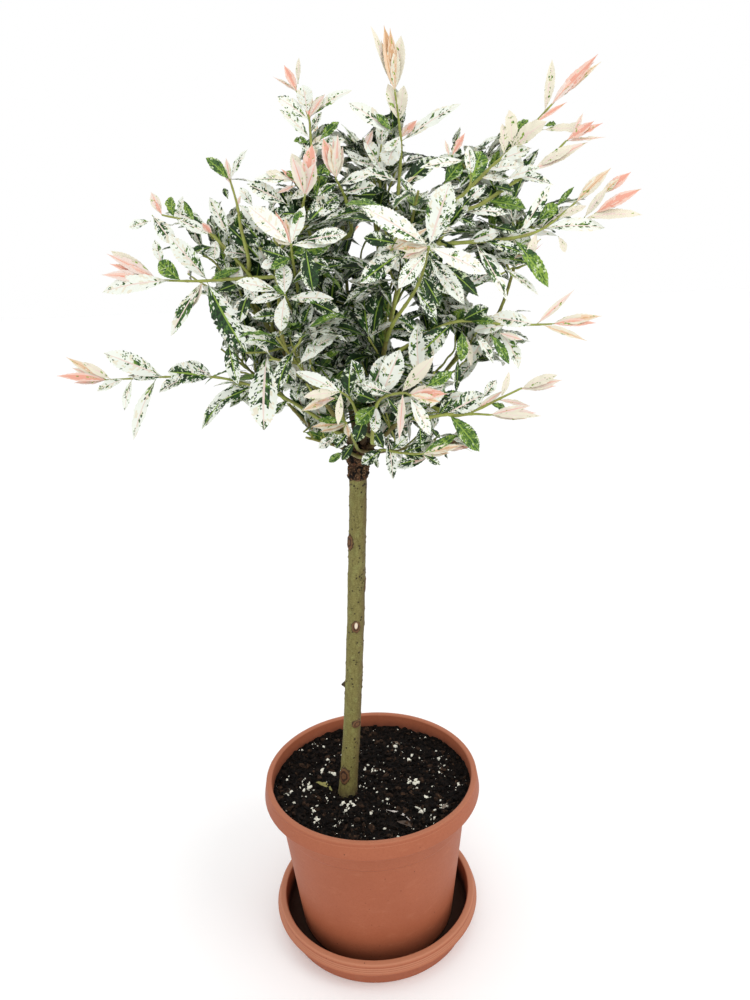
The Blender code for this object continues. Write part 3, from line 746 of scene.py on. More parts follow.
# Shoots that the photograph shows, in its pixels: the shoot's name, its mass, its line from root to tip,
# the depth in metres of both ends, and its leaves. Each leaf has its root and its tip, both across and
# down, its width and its kind.
SHOWN_SHOOTS = (
    ("top", "top", ((397, 208), (401, 151), (399, 122), (395, 92)), (-0.02, -0.04),
     (395, 94, 384, 26, 12, "tan"), (395, 93, 390, 28, 10, "tan"), (394, 90, 381, 40, 8, "peach"),
     (391, 84, 371, 27, 6, "cream"), (397, 92, 401, 36, 11, "cream"), (396, 92, 396, 44, 9, "peach"),
     (397, 122, 388, 84, 10, "cream"), (399, 122, 404, 86, 10, "cream"), (392, 134, 349, 103, 15, "light"),
     (392, 131, 376, 114, 7, "green"), (405, 142, 461, 104, 14, "light"), (397, 135, 387, 165, 18, "white"),
     (405, 138, 417, 120, 8, "salmon"), (403, 139, 411, 124, 7, "pink"), (400, 140, 384, 150, 9, "light"),
     (365, 149, 373, 130, 7, "pink"), (395, 188, 438, 157, 15, "dark"), (399, 188, 418, 175, 5, "peach"),
     (397, 196, 430, 200, 10, "dark"), (396, 185, 360, 172, 12, "dappled"), (390, 172, 352, 160, 12, "light"),
     (384, 176, 363, 138, 12, "light"), (378, 182, 345, 150, 11, "dappled"),
     (396, 200, 352, 196, 15, "dark")),
    ("high_right", "upper_right", ((462, 196), (487, 171), (509, 151), (532, 126), (554, 102)),
     (-0.05, -0.03),
     (552, 104, 598, 54, 11, "salmon"), (553, 104, 594, 62, 9, "salmon"), (556, 102, 601, 62, 7, "peach"),
     (550, 107, 585, 68, 8, "pink"), (536, 122, 567, 102, 5, "salmon"), (544, 112, 552, 60, 8, "cream"),
     (509, 145, 509, 110, 13, "cream"), (502, 156, 502, 124, 10, "cream"), (511, 137, 528, 120, 8, "green"),
     (509, 152, 546, 122, 15, "cream"), (541, 130, 592, 129, 10, "cream"), (544, 126, 556, 124, 6, "green"),
     (515, 151, 519, 174, 10, "white"), (498, 160, 530, 150, 13, "light"), (487, 171, 520, 166, 10, "white"),
     (480, 176, 505, 181, 9, "light")),
    ("upper_right", "upper_right", ((480, 205), (515, 182), (545, 162), (566, 141)), (-0.06, -0.05),
     (566, 142, 594, 121, 9, "salmon"), (568, 141, 603, 123, 8, "salmon"), (567, 143, 606, 137, 5, "blush"),
     (573, 134, 583, 113, 5, "blush"), (532, 171, 588, 142, 14, "blush"), (536, 166, 572, 148, 9, "cream"),
     (513, 175, 553, 185, 11, "dappled"), (505, 180, 540, 168, 10, "light"), (493, 186, 515, 192, 9, "dark"),
     (483, 198, 526, 209, 17, "green")),
    ("right_inner", "upper_right", ((440, 240), (458, 208), (471, 182), (466, 160)), (-0.08, -0.08),
     (471, 184, 481, 152, 17, "green"), (468, 178, 468, 146, 9, "light"), (444, 184, 461, 163, 13, "green"),
     (462, 160, 420, 168, 11, "light"), (452, 156, 465, 133, 7, "salmon"), (449, 156, 445, 140, 4, "blush"),
     (454, 204, 487, 185, 10, "dappled"), (442, 229, 472, 196, 14, "dark"),
     (464, 212, 509, 214, 11, "dappled"), (450, 214, 428, 196, 10, "dark"), (455, 218, 476, 226, 10, "mid")),
    ("far_right", "right", ((456, 243), (513, 238), (544, 228), (575, 203)), (-0.07, -0.06),
     (574, 204, 611, 168, 11, "peach"), (578, 201, 600, 180, 8, "salmon"), (600, 195, 631, 172, 10, "salmon"),
     (600, 196, 620, 178, 7, "peach"), (584, 218, 607, 188, 7, "cream"), (594, 214, 641, 189, 11, "salmon"),
     (594, 215, 630, 196, 8, "peach"), (582, 219, 641, 215, 10, "cream"), (556, 213, 586, 206, 8, "cream"),
     (545, 233, 604, 228, 13, "light"), (558, 236, 565, 252, 7, "cream"), (518, 231, 551, 184, 10, "dappled"),
     (538, 221, 557, 205, 11, "green"), (556, 207, 574, 187, 5, "green"), (541, 239, 514, 259, 10, "peach"),
     (538, 238, 526, 262, 8, "cream"), (493, 227, 517, 232, 9, "dark"), (511, 241, 548, 287, 14, "green"),
     (475, 237, 507, 301, 12, "dappled"), (503, 268, 538, 295, 8, "light"), (468, 244, 500, 232, 11, "light"),
     (482, 242, 524, 254, 10, "mid"), (462, 289, 494, 270, 11, "dappled"), (478, 250, 500, 272, 12, "light")),
    ("mid_right", "lower_right", ((400, 350), (454, 322), (513, 325), (552, 324)), (-0.07, -0.06),
     (552, 325, 602, 316, 11, "peach"), (552, 324, 592, 316, 9, "pink"), (553, 326, 596, 323, 9, "salmon"),
     (536, 323, 574, 290, 7, "blush"), (540, 326, 587, 341, 8, "peach"), (538, 323, 491, 317, 15, "light"),
     (509, 328, 474, 331, 12, "white"), (499, 333, 523, 340, 7, "blush"), (475, 333, 493, 363, 9, "dappled"),
     (490, 333, 509, 364, 9, "green"), (462, 331, 461, 361, 11, "green"), (466, 336, 471, 366, 6, "cream"),
     (458, 358, 456, 392, 6, "dark"), (454, 323, 409, 364, 20, "mid"), (462, 318, 488, 308, 13, "dark"),
     (466, 324, 494, 322, 9, "green"), (431, 328, 384, 330, 20, "mid"), (440, 322, 420, 298, 14, "dark"),
     (425, 338, 398, 318, 14, "mid")),
    ("low_right", "front_low_right", ((420, 420), (442, 415), (471, 412), (501, 398), (522, 388)),
     (-0.1, -0.11),
     (518, 391, 562, 380, 11, "blush"), (520, 388, 557, 375, 9, "cream"), (522, 392, 556, 386, 8, "pink"),
     (498, 398, 530, 406, 6, "blush"), (500, 400, 509, 372, 6, "cream"), (476, 411, 504, 390, 7, "blush"),
     (446, 412, 484, 394, 18, "dappled"), (450, 418, 479, 451, 17, "green"),
     (483, 398, 496, 380, 9, "dappled"), (490, 403, 506, 409, 7, "green"), (440, 414, 452, 398, 10, "dark")),
    ("low_right_bud", "front_low_right", ((455, 416), (471, 414), (491, 415)), (-0.1, -0.12),
     (489, 416, 536, 413, 12, "pink"), (490, 415, 530, 406, 8, "blush"), (490, 417, 527, 419, 8, "peach"),
     (492, 417, 541, 416, 6, "cream")),
    ("big_star", "front_right", ((395, 320), (418, 285), (429, 247)), (-0.1, -0.195),
     (428, 242, 450, 182, 24, "light"), (426, 242, 361, 206, 19, "light"), (435, 243, 487, 274, 19, "white"),
     (423, 250, 399, 288, 15, "light"), (433, 254, 464, 304, 15, "light"), (402, 252, 360, 283, 17, "mid"),
     (428, 256, 449, 294, 17, "dark"), (398, 244, 364, 238, 13, "dark"), (426, 246, 397, 240, 12, "peach"),
     (427, 247, 397, 249, 13, "peach"), (427, 248, 402, 258, 11, "blush"), (427, 244, 404, 234, 9, "cream"),
     (428, 246, 410, 246, 9, "salmon"), (420, 275, 440, 306, 14, "dark"), (412, 290, 436, 318, 12, "mid"),
     (440, 262, 478, 296, 12, "dark")),
    ("left_star", "front_left", ((300, 300), (294, 268), (291, 245)), (-0.09, -0.15),
     (290, 245, 249, 207, 17, "white"), (287, 240, 304, 207, 12, "white"), (295, 242, 334, 243, 10, "white"),
     (291, 244, 275, 211, 7, "salmon"), (292, 244, 285, 217, 8, "peach"), (289, 246, 275, 238, 8, "cream"),
     (298, 234, 300, 211, 10, "green"), (303, 241, 347, 234, 16, "dappled"), (305, 246, 313, 291, 15, "dark"),
     (289, 258, 271, 269, 9, "green"), (284, 259, 261, 267, 10, "light"), (292, 262, 262, 250, 13, "dark"),
     (298, 255, 330, 268, 12, "dark")),
    ("small_star", "front_low_left", ((312, 345), (296, 318), (285, 295)), (-0.08, -0.13),
     (278, 291, 236, 282, 12, "light"), (281, 295, 251, 303, 9, "light"), (290, 293, 284, 264, 15, "light"),
     (293, 296, 333, 299, 11, "light"), (285, 296, 281, 331, 14, "white"), (284, 294, 274, 286, 6, "green"),
     (296, 312, 252, 318, 14, "dark"), (300, 320, 330, 330, 14, "mid"), (306, 300, 340, 316, 14, "dark")),
    ("top_left", "upper_left", ((326, 205), (316, 172), (311, 143), (309, 118), (297, 92)), (-0.03, -0.02),
     (297, 93, 284, 65, 8, "salmon"), (296, 92, 289, 72, 7, "pink"), (294, 90, 273, 77, 4, "blush"),
     (298, 84, 299, 58, 4, "cream"), (307, 115, 303, 85, 13, "white"), (310, 121, 309, 91, 8, "salmon"),
     (312, 117, 325, 94, 10, "blush"), (308, 120, 277, 97, 13, "light"), (307, 140, 280, 110, 12, "light"),
     (312, 118, 351, 91, 10, "light"), (319, 141, 339, 122, 9, "green"), (306, 143, 294, 141, 7, "green"),
     (303, 184, 292, 154, 10, "cream"), (315, 160, 300, 138, 9, "dappled"), (318, 150, 345, 140, 11, "light"),
     (312, 132, 322, 112, 8, "dappled")),
    ("pink_pair", "front_left", ((312, 240), (303, 212), (305, 196)), (-0.09, -0.11),
     (305, 197, 316, 162, 14, "blush"), (304, 196, 292, 156, 12, "blush"), (307, 180, 312, 144, 13, "salmon"),
     (306, 188, 303, 160, 9, "pink"), (305, 194, 309, 152, 7, "pink"), (296, 184, 281, 169, 5, "salmon"),
     (296, 185, 277, 193, 5, "pink"), (296, 181, 287, 171, 6, "green"), (296, 181, 255, 179, 9, "light"),
     (290, 180, 266, 172, 8, "cream"), (288, 205, 247, 184, 14, "dappled"), (253, 207, 240, 188, 8, "light"),
     (300, 215, 270, 215, 12, "dark"), (305, 222, 335, 208, 14, "dark"), (290, 200, 310, 190, 8, "light")),
    ("pink_high", "front_left", ((352, 230), (346, 200), (336, 179)), (-0.07, -0.1),
     (336, 179, 323, 138, 13, "salmon"), (337, 178, 330, 144, 10, "peach"), (338, 177, 338, 134, 9, "blush"),
     (339, 177, 343, 146, 8, "blush"), (337, 178, 329, 152, 6, "peach"), (338, 176, 333, 137, 6, "pink"),
     (340, 185, 372, 174, 11, "light"), (344, 195, 376, 186, 12, "dappled"), (336, 184, 318, 196, 10, "mid"),
     (348, 205, 380, 212, 14, "dark"), (346, 210, 318, 222, 14, "dark")),
    ("twig_left", "left", ((248, 255), (241, 228), (237, 204), (230, 180)), (-0.06, -0.06),
     (227, 181, 206, 158, 11, "green"), (229, 176, 226, 158, 6, "blush"), (231, 179, 247, 150, 7, "light"),
     (228, 199, 224, 188, 5, "dark"), (235, 206, 241, 195, 4, "blush"), (232, 184, 226, 172, 6, "pink")),
    ("high_left", "left", ((262, 290), (232, 255), (200, 226), (162, 215)), (-0.05, -0.04),
     (162, 216, 151, 192, 10, "blush"), (163, 216, 156, 202, 5, "salmon"), (175, 217, 171, 197, 10, "green"),
     (178, 212, 183, 196, 6, "light"), (151, 221, 129, 228, 9, "light"), (152, 215, 174, 244, 13, "dappled"),
     (208, 281, 169, 236, 16, "light"), (175, 221, 208, 234, 10, "light"), (197, 223, 184, 201, 6, "green"),
     (215, 236, 202, 223, 7, "salmon"), (230, 238, 210, 198, 11, "light"), (222, 236, 214, 259, 13, "light"),
     (213, 247, 191, 253, 10, "dark"), (267, 268, 228, 226, 15, "dark"), (272, 256, 241, 220, 15, "dark"),
     (250, 256, 224, 252, 13, "dappled"), (246, 262, 236, 284, 12, "light"), (263, 236, 256, 210, 11, "mid"),
     (272, 240, 240, 206, 12, "light")),
    ("far_left", "left", ((272, 277), (234, 279), (203, 281), (181, 281), (157, 280)), (-0.06, -0.04),
     (158, 280, 107, 254, 11, "pink"), (157, 281, 102, 275, 12, "pink"), (156, 280, 110, 264, 10, "salmon"),
     (158, 277, 111, 251, 11, "cream"), (156, 283, 124, 283, 9, "salmon"), (170, 285, 104, 292, 18, "white"),
     (181, 284, 159, 262, 14, "green"), (163, 266, 155, 240, 9, "light"), (203, 283, 171, 336, 13, "dappled"),
     (204, 284, 193, 307, 11, "blush"), (209, 279, 240, 269, 8, "green"), (207, 286, 246, 352, 22, "mid"),
     (216, 292, 240, 283, 11, "dark"), (228, 340, 238, 384, 14, "mid"), (246, 284, 256, 300, 12, "light"),
     (250, 290, 240, 322, 15, "dark")),
    ("mid_left", "lower_left", ((345, 425), (325, 352), (305, 342), (271, 351), (246, 353)), (-0.06, -0.1),
     (266, 355, 264, 429, 26, "dappled"), (252, 352, 290, 334, 15, "dark"), (295, 358, 285, 391, 14, "mid"),
     (300, 346, 342, 322, 17, "mid"), (305, 350, 334, 384, 18, "mid"), (318, 352, 350, 384, 14, "dark"),
     (300, 340, 284, 318, 14, "mid"), (301, 380, 296, 400, 8, "mid"), (330, 340, 362, 334, 16, "mid"),
     (290, 346, 310, 376, 13, "dappled")),
    ("low_left", "lower_left",
     ((335, 432), (322, 421), (283, 397), (250, 385), (213, 377), (164, 377), (107, 380)), (-0.05, -0.04),
     (108, 380, 57, 376, 9, "salmon"), (108, 379, 66, 357, 9, "peach"), (110, 379, 84, 362, 7, "cream"),
     (107, 381, 74, 383, 8, "pink"), (108, 380, 72, 368, 8, "blush"), (124, 379, 97, 391, 10, "light"),
     (164, 376, 104, 353, 18, "light"), (162, 378, 128, 376, 9, "dappled"), (131, 384, 125, 410, 8, "light"),
     (158, 382, 134, 439, 13, "light"), (213, 376, 168, 372, 19, "mid"), (190, 380, 160, 392, 12, "dappled"),
     (237, 384, 202, 429, 15, "mid"), (252, 390, 216, 404, 14, "mid"), (285, 402, 275, 414, 8, "mid"),
     (212, 374, 186, 362, 11, "dappled")),
    ("low_middle", "front_low_left", ((362, 430), (352, 402), (341, 392)), (-0.07, -0.13),
     (341, 392, 296, 372, 12, "white"), (336, 396, 304, 397, 9, "cream"), (335, 397, 302, 411, 10, "peach"),
     (336, 398, 312, 403, 8, "pink"), (339, 395, 338, 425, 7, "cream"), (350, 398, 326, 380, 13, "mid"),
     (352, 396, 350, 366, 14, "dark"), (345, 400, 326, 404, 8, "dark")),
    ("yellow_bud", "skirt_left", ((358, 450), (352, 436), (346, 422)), (-0.04, -0.09),
     (346, 423, 311, 427, 9, "peach"), (346, 422, 318, 420, 7, "green"), (347, 424, 320, 432, 8, "peach"),
     (346, 423, 349, 437, 8, "peach"), (337, 436, 319, 448, 9, "dappled"), (344, 452, 329, 462, 7, "green"),
     (352, 430, 336, 448, 10, "dark"), (352, 442, 342, 460, 9, "dark")),
    ("front_bud", "front_low_right", ((372, 440), (378, 402), (401, 393), (410, 395)), (-0.08, -0.15),
     (409, 396, 447, 394, 11, "salmon"), (409, 397, 440, 402, 10, "peach"), (408, 394, 432, 388, 8, "cream"),
     (401, 393, 433, 358, 12, "cream"), (426, 387, 453, 372, 11, "green"), (403, 396, 399, 441, 9, "blush"),
     (408, 399, 430, 435, 12, "light"), (378, 398, 400, 350, 20, "light"),
     (370, 396, 386, 356, 16, "dappled"), (376, 400, 352, 392, 14, "dark"), (372, 404, 356, 424, 14, "green"),
     (392, 396, 360, 384, 13, "dappled"), (386, 398, 404, 420, 9, "dark"), (366, 414, 356, 442, 13, "dark"),
     (377, 408, 375, 432, 10, "light"), (364, 390, 352, 360, 13, "mid")),
    ("low_bud", "skirt_right", ((366, 458), (382, 450), (401, 453), (422, 454)), (-0.05, -0.1),
     (422, 454, 457, 435, 9, "green"), (422, 455, 464, 445, 9, "peach"), (422, 456, 450, 453, 8, "peach"),
     (401, 452, 427, 445, 9, "dark"), (402, 454, 424, 458, 8, "dark"), (426, 458, 440, 465, 7, "dark"),
     (388, 438, 393, 479, 11, "dappled"), (375, 456, 378, 468, 5, "dark"), (420, 427, 421, 445, 9, "dark"),
     (430, 428, 440, 438, 5, "dark"), (380, 446, 362, 464, 12, "dark"), (384, 446, 372, 428, 12, "dark"),
     (392, 450, 408, 436, 10, "mid")),
)

# Openings between the leaves, where the photograph shows what is behind the plant: pixel and radius
SKY = (
    (368, 240, 13), (358, 252, 9), (378, 226, 8), (262, 320, 9), (270, 322, 7), (390, 286, 5),
    (401, 299, 6), (347, 358, 6), (400, 342, 8), (437, 356, 12), (446, 344, 12), (450, 366, 9),
    (247, 366, 8), (290, 393, 7), (484, 375, 12), (474, 385, 9), (500, 350, 6), (495, 300, 13),
    (515, 290, 12), (530, 272, 10), (476, 298, 8), (432, 178, 9), (444, 172, 7), (414, 432, 6),
    (404, 440, 6), (440, 428, 9), (285, 432, 22), (305, 456, 18), (262, 448, 20), (325, 470, 14),
    (432, 480, 16), (462, 466, 14), (450, 474, 12), (492, 440, 16), (206, 310, 12), (205, 340, 16),
    (190, 352, 12), (222, 366, 8), (225, 392, 8), (180, 320, 14), (186, 238, 7), (180, 262, 9),
    (166, 262, 7), (213, 265, 6), (196, 208, 7), (226, 206, 8), (262, 196, 6), (285, 140, 14),
    (268, 150, 14), (252, 166, 12), (282, 162, 9), (360, 92, 14), (375, 100, 9), (362, 118, 12),
    (412, 112, 10), (424, 142, 9), (438, 136, 14), (474, 132, 12), (490, 128, 12), (535, 196, 10),
    (524, 200, 8), (548, 258, 12), (528, 100, 12), (556, 168, 10), (575, 250, 14), (480, 480, 16),
    (395, 490, 12), (340, 478, 8), (376, 482, 6), (240, 410, 8),
)


def bend(start, heading, end, ending, steps):
    """Points of a smooth line that leaves start about along heading and comes to end along ending."""
    run = end - start
    pull = norm(run) * 0.33
    share = np.linspace(0, 1, steps + 1)[:, None]
    first = start + unit(unit(heading) + unit(run)) * pull
    second = end - unit(unit(ending) + 0.5 * unit(run)) * pull
    return ((1 - share) ** 3 * start + 3 * share * (1 - share) ** 2 * first
            + 3 * share ** 2 * (1 - share) * second + share ** 3 * end)


def smooth_line(corners, steps):
    """A smooth line through given points."""
    line = [corners[0]]
    ends = [corners[0], *corners, corners[-1]]
    for before, near, far, after in zip(ends, ends[1:], ends[2:], ends[3:]):
        for step in range(1, steps + 1):
            share = step / steps
            line.append(0.5 * (
                2 * near + (far - before) * share + (2 * before - 5 * near + 4 * far - after) * share ** 2
                + (3 * near - before - 3 * far + after) * share ** 3))
    return np.array(line)


def along_line(points, share):
    """The point at a share of a line's length, and the line's direction there."""
    lengths = lengths_along(points)
    spot = share * lengths[-1]
    number = min(np.searchsorted(lengths, spot, side="right"), len(points) - 1)
    return at_places(points, lengths, spot), unit(points[number] - points[number - 1])


def line_length(points):
    """The whole length of a line."""
    return norm(np.diff(points, axis=0), axis=1).sum()


def sideways(way, turn, tilt):
    """A direction across a way, turned round it. The tilt keeps an upright way off the upright axis."""
    across = unit(np.cross(way, UP + tilt))
    return across * math.cos(turn) + np.cross(across, way) * math.sin(turn)


class Crown:
    """The branching of the whole crown: its limbs, and the leaves that they carry."""

    # Radii of the limbs, at their roots and at their tips
    TWIG_RADIUS = 0.0013
    SHOOT_RADIUS = 0.0016
    LEADER_TIP = 0.0010
    TIP_RADIUS = 0.0008
    # How far inside a mass's surface its twigs end, so that their leaves reach it
    LEAF_ROOM = 0.026
    BUD_LENGTH = 0.046
    # How far a leaf may stand out of the masses, and how near to its shoot a shown leaf's root joins it
    MARGIN = 0.007
    SNAP = 0.006
    # How near to a twig a leaf's root counts as its own
    HELD = 0.0022
    # The crown's middle above the head, its reach each way, and the share that is its core
    MIDDLE = HEAD + np.array((0.0, 0.0, 0.17))
    REACH = (0.235, 0.21, 0.225)
    CORE = 0.60
    # Pixels that a grown leaf keeps off the edge of an opening, and off a leaf that is shown
    OPENING_GAP = 3
    SHOWN_GAP = 9
    # Tries to place a leaf, twigs on the inner part of each bough, and leaves in a rosette
    ATTEMPTS = 4
    INNER_TWIGS = 2
    ROSETTE = 4
    # How likely a leaf is at its place, and a bud at a twig's end that is this far out in the crown
    LEAF_CHANCE = 0.93
    BUD_CHANCE = 0.42
    BUD_OPENNESS = 0.86
    # Metres at the end of a twig and of a long shoot that carry no pairs of leaves
    TWIG_END = 0.006
    SHOOT_END = 0.012

    def __init__(self, settings):
        self.settings = settings
        self.chance = np.random.RandomState(settings.seed)
        self.limbs = []
        self.leaves = []

    def between(self, low, high):
        """A chance number from low to high."""
        return low + (high - low) * self.chance.rand()

    def add_limb(self, points, root_radius, tip_radius, mass, kind):
        """Keeps a limb that tapers evenly from its root to its tip."""
        limb = Limb(points, np.linspace(root_radius, tip_radius, len(points)), mass, kind)
        self.limbs.append(limb)
        return limb

    def grow(self):
        """The limbs in order, each from those before it, and then the leaves that may stay."""
        for name in BOUGHS:
            self.grow_leader(name)
            self.grow_inner(name)
        for name in MASSES:
            if name not in BOUGHS:
                self.grow_carried(name)
        for name in MASSES:
            self.grow_twigs(name)
        covered = {shoot[0] for shoot in SHOWN_SHOOTS}
        for name, shoot in SHOOTS.items():
            if name not in covered:
                self.grow_shoot(name, shoot)
        ruled = self.leaves
        self.leaves = []
        for name, *shoot in SHOWN_SHOOTS:
            self.grow_shown(*shoot)
        self.leaves = self.settled(ruled) + self.leaves
        self.limbs = [limb for limb in map(self.trimmed, self.limbs) if limb]

    def trimmed(self, limb):
        """A twig cut off beyond its last leaf, or nothing where it has none."""
        if limb.kind != "twig":
            return limb
        samples, fewest, taper = 60, 6, 9.0
        steps = np.linspace(0, len(limb.points) - 1, samples)
        numbers = np.arange(len(limb.points))
        line = at_places(limb.points, numbers, steps)
        roots = np.array([leaf.start for leaf in self.leaves])
        gaps = norm(line[:, None] - roots[None], axis=-1).min(axis=1)
        held = np.flatnonzero(gaps < self.HELD)
        if not len(held) or held[-1] < fewest:
            return None
        kept = slice(0, held[-1] + 1)
        radii = np.interp(steps, numbers, limb.radii)[kept]
        most = np.linspace(taper, 1.0, len(radii)) * self.TIP_RADIUS
        return limb._replace(points=line[kept], radii=np.minimum(radii, most))

    def settled(self, leaves):
        """Leaves that keep to the crown and its openings. One that doesn't is turned aside first."""
        kept = []
        for _ in range(self.ATTEMPTS):
            fine = [clear and self.keeps_place(leaf) for leaf, clear in zip(leaves, self.keeps_clear(leaves))]
            kept += [leaf for leaf, good in zip(leaves, fine) if good]
            leaves = [self.turned_aside(leaf) for leaf, good in zip(leaves, fine) if not good]
        return kept

    def turned_aside(self, leaf):
        """A leaf turned some way round the upright axis, and a little smaller."""
        turn = Matrix.Rotation(self.between(0.6, math.tau - 0.6), 3, "Z")
        way = np.array(turn @ Vector(leaf.way))
        return leaf._replace(way=way, length=leaf.length * 0.93, width=leaf.width * 0.95)

    def middle_line(self, leaves, shares):
        """Points along the middle of each leaf."""
        return np.array([[leaf.start + unit(leaf.way) * leaf.length * share + leaf.arch_drop(share)
                          for share in shares] for leaf in leaves])

    def keeps_clear(self, leaves):
        """Whether each leaf neither closes an opening nor covers one of the leaves shown."""
        pixels, ahead = on_photo(self.middle_line(leaves, (0.35, 0.65, 1.0)))
        openings = np.array(SKY, float)
        gaps = norm(pixels[:, :, None] - openings[:, :2], axis=-1) - openings[:, 2]
        closing = (gaps.min(axis=2) < self.OPENING_GAP).any(axis=1)
        shown_leaves = [leaf for leaf in self.leaves if leaf.kind not in ("dark", "mid")]
        roots, root_ahead = on_photo(np.array([leaf.start for leaf in shown_leaves]))
        tips = on_photo(self.middle_line(shown_leaves, (1.0,))[:, 0])[0]
        run = tips - roots
        share = ((pixels[:, :, None] - roots) * run).sum(axis=-1) / (run * run).sum(axis=-1)
        foot = roots + run * np.clip(share, 0, 1)[..., None]
        away = norm(pixels[:, :, None] - foot, axis=-1)
        covering = ((away < self.SHOWN_GAP) & (ahead[:, :, None] < root_ahead + 0.01)).any(axis=(1, 2))
        return ~closing & ~covering

    def keeps_place(self, leaf):
        """Whether a leaf's end stays in the masses of the crown or between them."""
        bodies = (*MASSES.values(), *SHOOTS.values())
        return all(
            self.openness(spot) < self.CORE or any(body.holds(spot, self.MARGIN) for body in bodies)
            for spot in self.middle_line([leaf], (0.6, 1.0))[0])

    def grow_leader(self, name):
        """A bough, and the leader that it grows into inside its mass."""
        mass = MASSES[name]
        line, radii = bough_line(name)
        way = unit(line[-1] - line[-2])
        end = self.target(mass, mass.outward)
        inside = bend(line[-1], way, end, mass.outward, 8)[1:]
        points = np.concatenate(([HEAD + (line[0] - HEAD) * 0.4], line, inside))
        thick = np.concatenate(([radii[0]], radii, np.linspace(radii[-1], self.LEADER_TIP, len(inside))))
        self.limbs.append(Limb(points, thick, name, "bough"))

    def grow_inner(self, name):
        """Short twigs between the head and a mass, that fill the middle of the crown."""
        leader = self.limbs[-1]
        for number in range(self.INNER_TWIGS):
            share = 0.16 + 0.36 * (number + self.chance.rand()) / self.INNER_TWIGS
            start, heading = along_line(leader.points, share)
            side = unit(self.chance.normal(0, 1, 3) + UP * 0.3)
            ending = unit(heading * 0.5 + side)
            end = start + unit(heading * 0.7 + side) * self.between(0.035, 0.060)
            points = bend(start, heading, end, ending, 6)
            self.leaf_limb(self.add_limb(points, self.TWIG_RADIUS * 0.9, self.TIP_RADIUS, name, "twig"), 0.25)

    def grow_carried(self, name):
        """A leader for a mass that no bough reaches, out of the nearest leader."""
        mass = MASSES[name]
        root, way = self.nearest(mass.middle - mass.outward * 0.04)
        points = bend(root, way, self.target(mass, mass.outward), mass.outward, 12)
        self.add_limb(points, self.TWIG_RADIUS * 1.4, self.LEADER_TIP, name, "bough")

    def target(self, mass, way):
        """Where a twig ends, so that its leaves reach the mass's surface."""
        return mass.middle + way * max(mass.reach(way) - self.LEAF_ROOM, 0.4 * mass.reach(way))

    def nearest(self, spot):
        """The nearest point on any leader, and the direction of growth there."""
        found = []
        for limb in self.limbs:
            if limb.kind == "bough":
                gaps = norm(limb.points[2:-1] - spot, axis=1)
                found.append((gaps.min(), gaps.argmin() + 2, limb))
        _, number, limb = min(found, key=lambda item: item[0])
        return limb.points[number], unit(limb.points[number + 1] - limb.points[number - 1])

    def grow_twigs(self, name):
        """Side twigs that leave a mass's leader in turn and fan out to its surface."""
        mass = MASSES[name]
        leader = next(limb for limb in self.limbs if limb.mass == name)
        self.leaf_limb(leader, 0.16, 0.80)
        across = unit(np.cross(mass.outward, UP + 0.01))
        over = np.cross(mass.outward, across)
        count = self.settings.twigs
        inside = 8 / len(leader.points)
        for number in range(count):
            share = (number + 0.5) / count
            turn = GOLDEN_TURN * number + self.between(-0.4, 0.4) + len(name)
            tilt = math.radians(115 - 75 * share + self.between(-10, 10))
            side = across * math.cos(turn) + over * math.sin(turn)
            way = unit(mass.outward * math.cos(tilt) + side * math.sin(tilt))
            start, heading = along_line(leader.points, 1 - inside + inside * (0.05 + 0.75 * share))
            end = self.target(mass, way)
            ending = unit(way + UP * 0.25)
            points = bend(start, unit(heading * 0.8 + way), end, ending, 9)
            points[1:-1] += self.chance.normal(0, 0.0011, (len(points) - 2, 3))
            self.leaf_limb(self.add_limb(points, self.TWIG_RADIUS, self.TIP_RADIUS, name, "twig"), 0.22)

    def openness(self, spot):
        """How far out in the crown a point is, 0 by the middle and 1 at the outside."""
        return min(1.0, norm((spot - self.MIDDLE) / self.REACH))

    def kind_for(self, spot, share):
        """A leaf's kind: darker by the middle of the crown, lighter towards a twig's end."""
        out = self.openness(spot)
        light = 0.66 * out ** 2 + 0.36 * share + self.between(-0.24, 0.46)
        kinds = (("dark", 0.40), ("mid", 0.66), ("dappled", 0.88), ("light", 1.10), ("white", 9.0))
        kind = next(kind for kind, limit in kinds if light < limit)
        if kind in ("mid", "dappled") and self.chance.rand() < 0.12:
            kind = "green"
        return kind

    def pairs(self, points, first, bare_end, spacing, wobble):
        """Where leaves stand in pairs along a line from a share of it on, each pair across the last."""
        length = line_length(points)
        turn = self.chance.rand() * math.tau
        for place in np.arange(first * length, length - bare_end, spacing):
            spot, way = along_line(points, place / length)
            for half in (0.0, math.pi):
                yield spot, way, turn + half, place / length
            turn += math.pi / 2 + self.between(-wobble, wobble)

    def leaf_limb(self, limb, first, closeness=1.0):
        """Leaves from a share of a limb on, here and there one missing, and its end."""
        spacing = self.settings.spacing * closeness
        for spot, way, turn, share in self.pairs(limb.points, first, self.TWIG_END, spacing, 0.35):
            if self.chance.rand() < self.LEAF_CHANCE:
                angle = math.radians(self.between(38, 68) - 14 * share)
                self.side_leaf(limb.mass, spot, way, turn, angle, share)
        self.end_limb(limb)

    def side_leaf(self, mass, spot, way, turn, angle, share):
        """One leaf that stands off a twig at an angle, turned round it."""
        side = sideways(way, turn, 0.013)
        heading = unit(way * math.cos(angle) + side * math.sin(angle) + UP * self.between(-0.15, 0.10))
        face = unit(way * 0.7 + UP * 0.6 - heading * 0.2)
        kind = self.kind_for(spot, share)
        size = self.between(0.78, 1.15) * (1 - 0.22 * share) * (1.1 if kind in ("dark", "mid") else 1.0)
        length = self.settings.length * size
        self.leaves.append(Leaf(
            spot, heading, face, length, length * self.settings.slimness * self.between(0.85, 1.2),
            self.between(0.25, 1.15), self.between(0.10, 0.50), self.between(-0.7, 0.7),
            self.between(0.0006, 0.0015), kind, PIECE_OF[mass]))

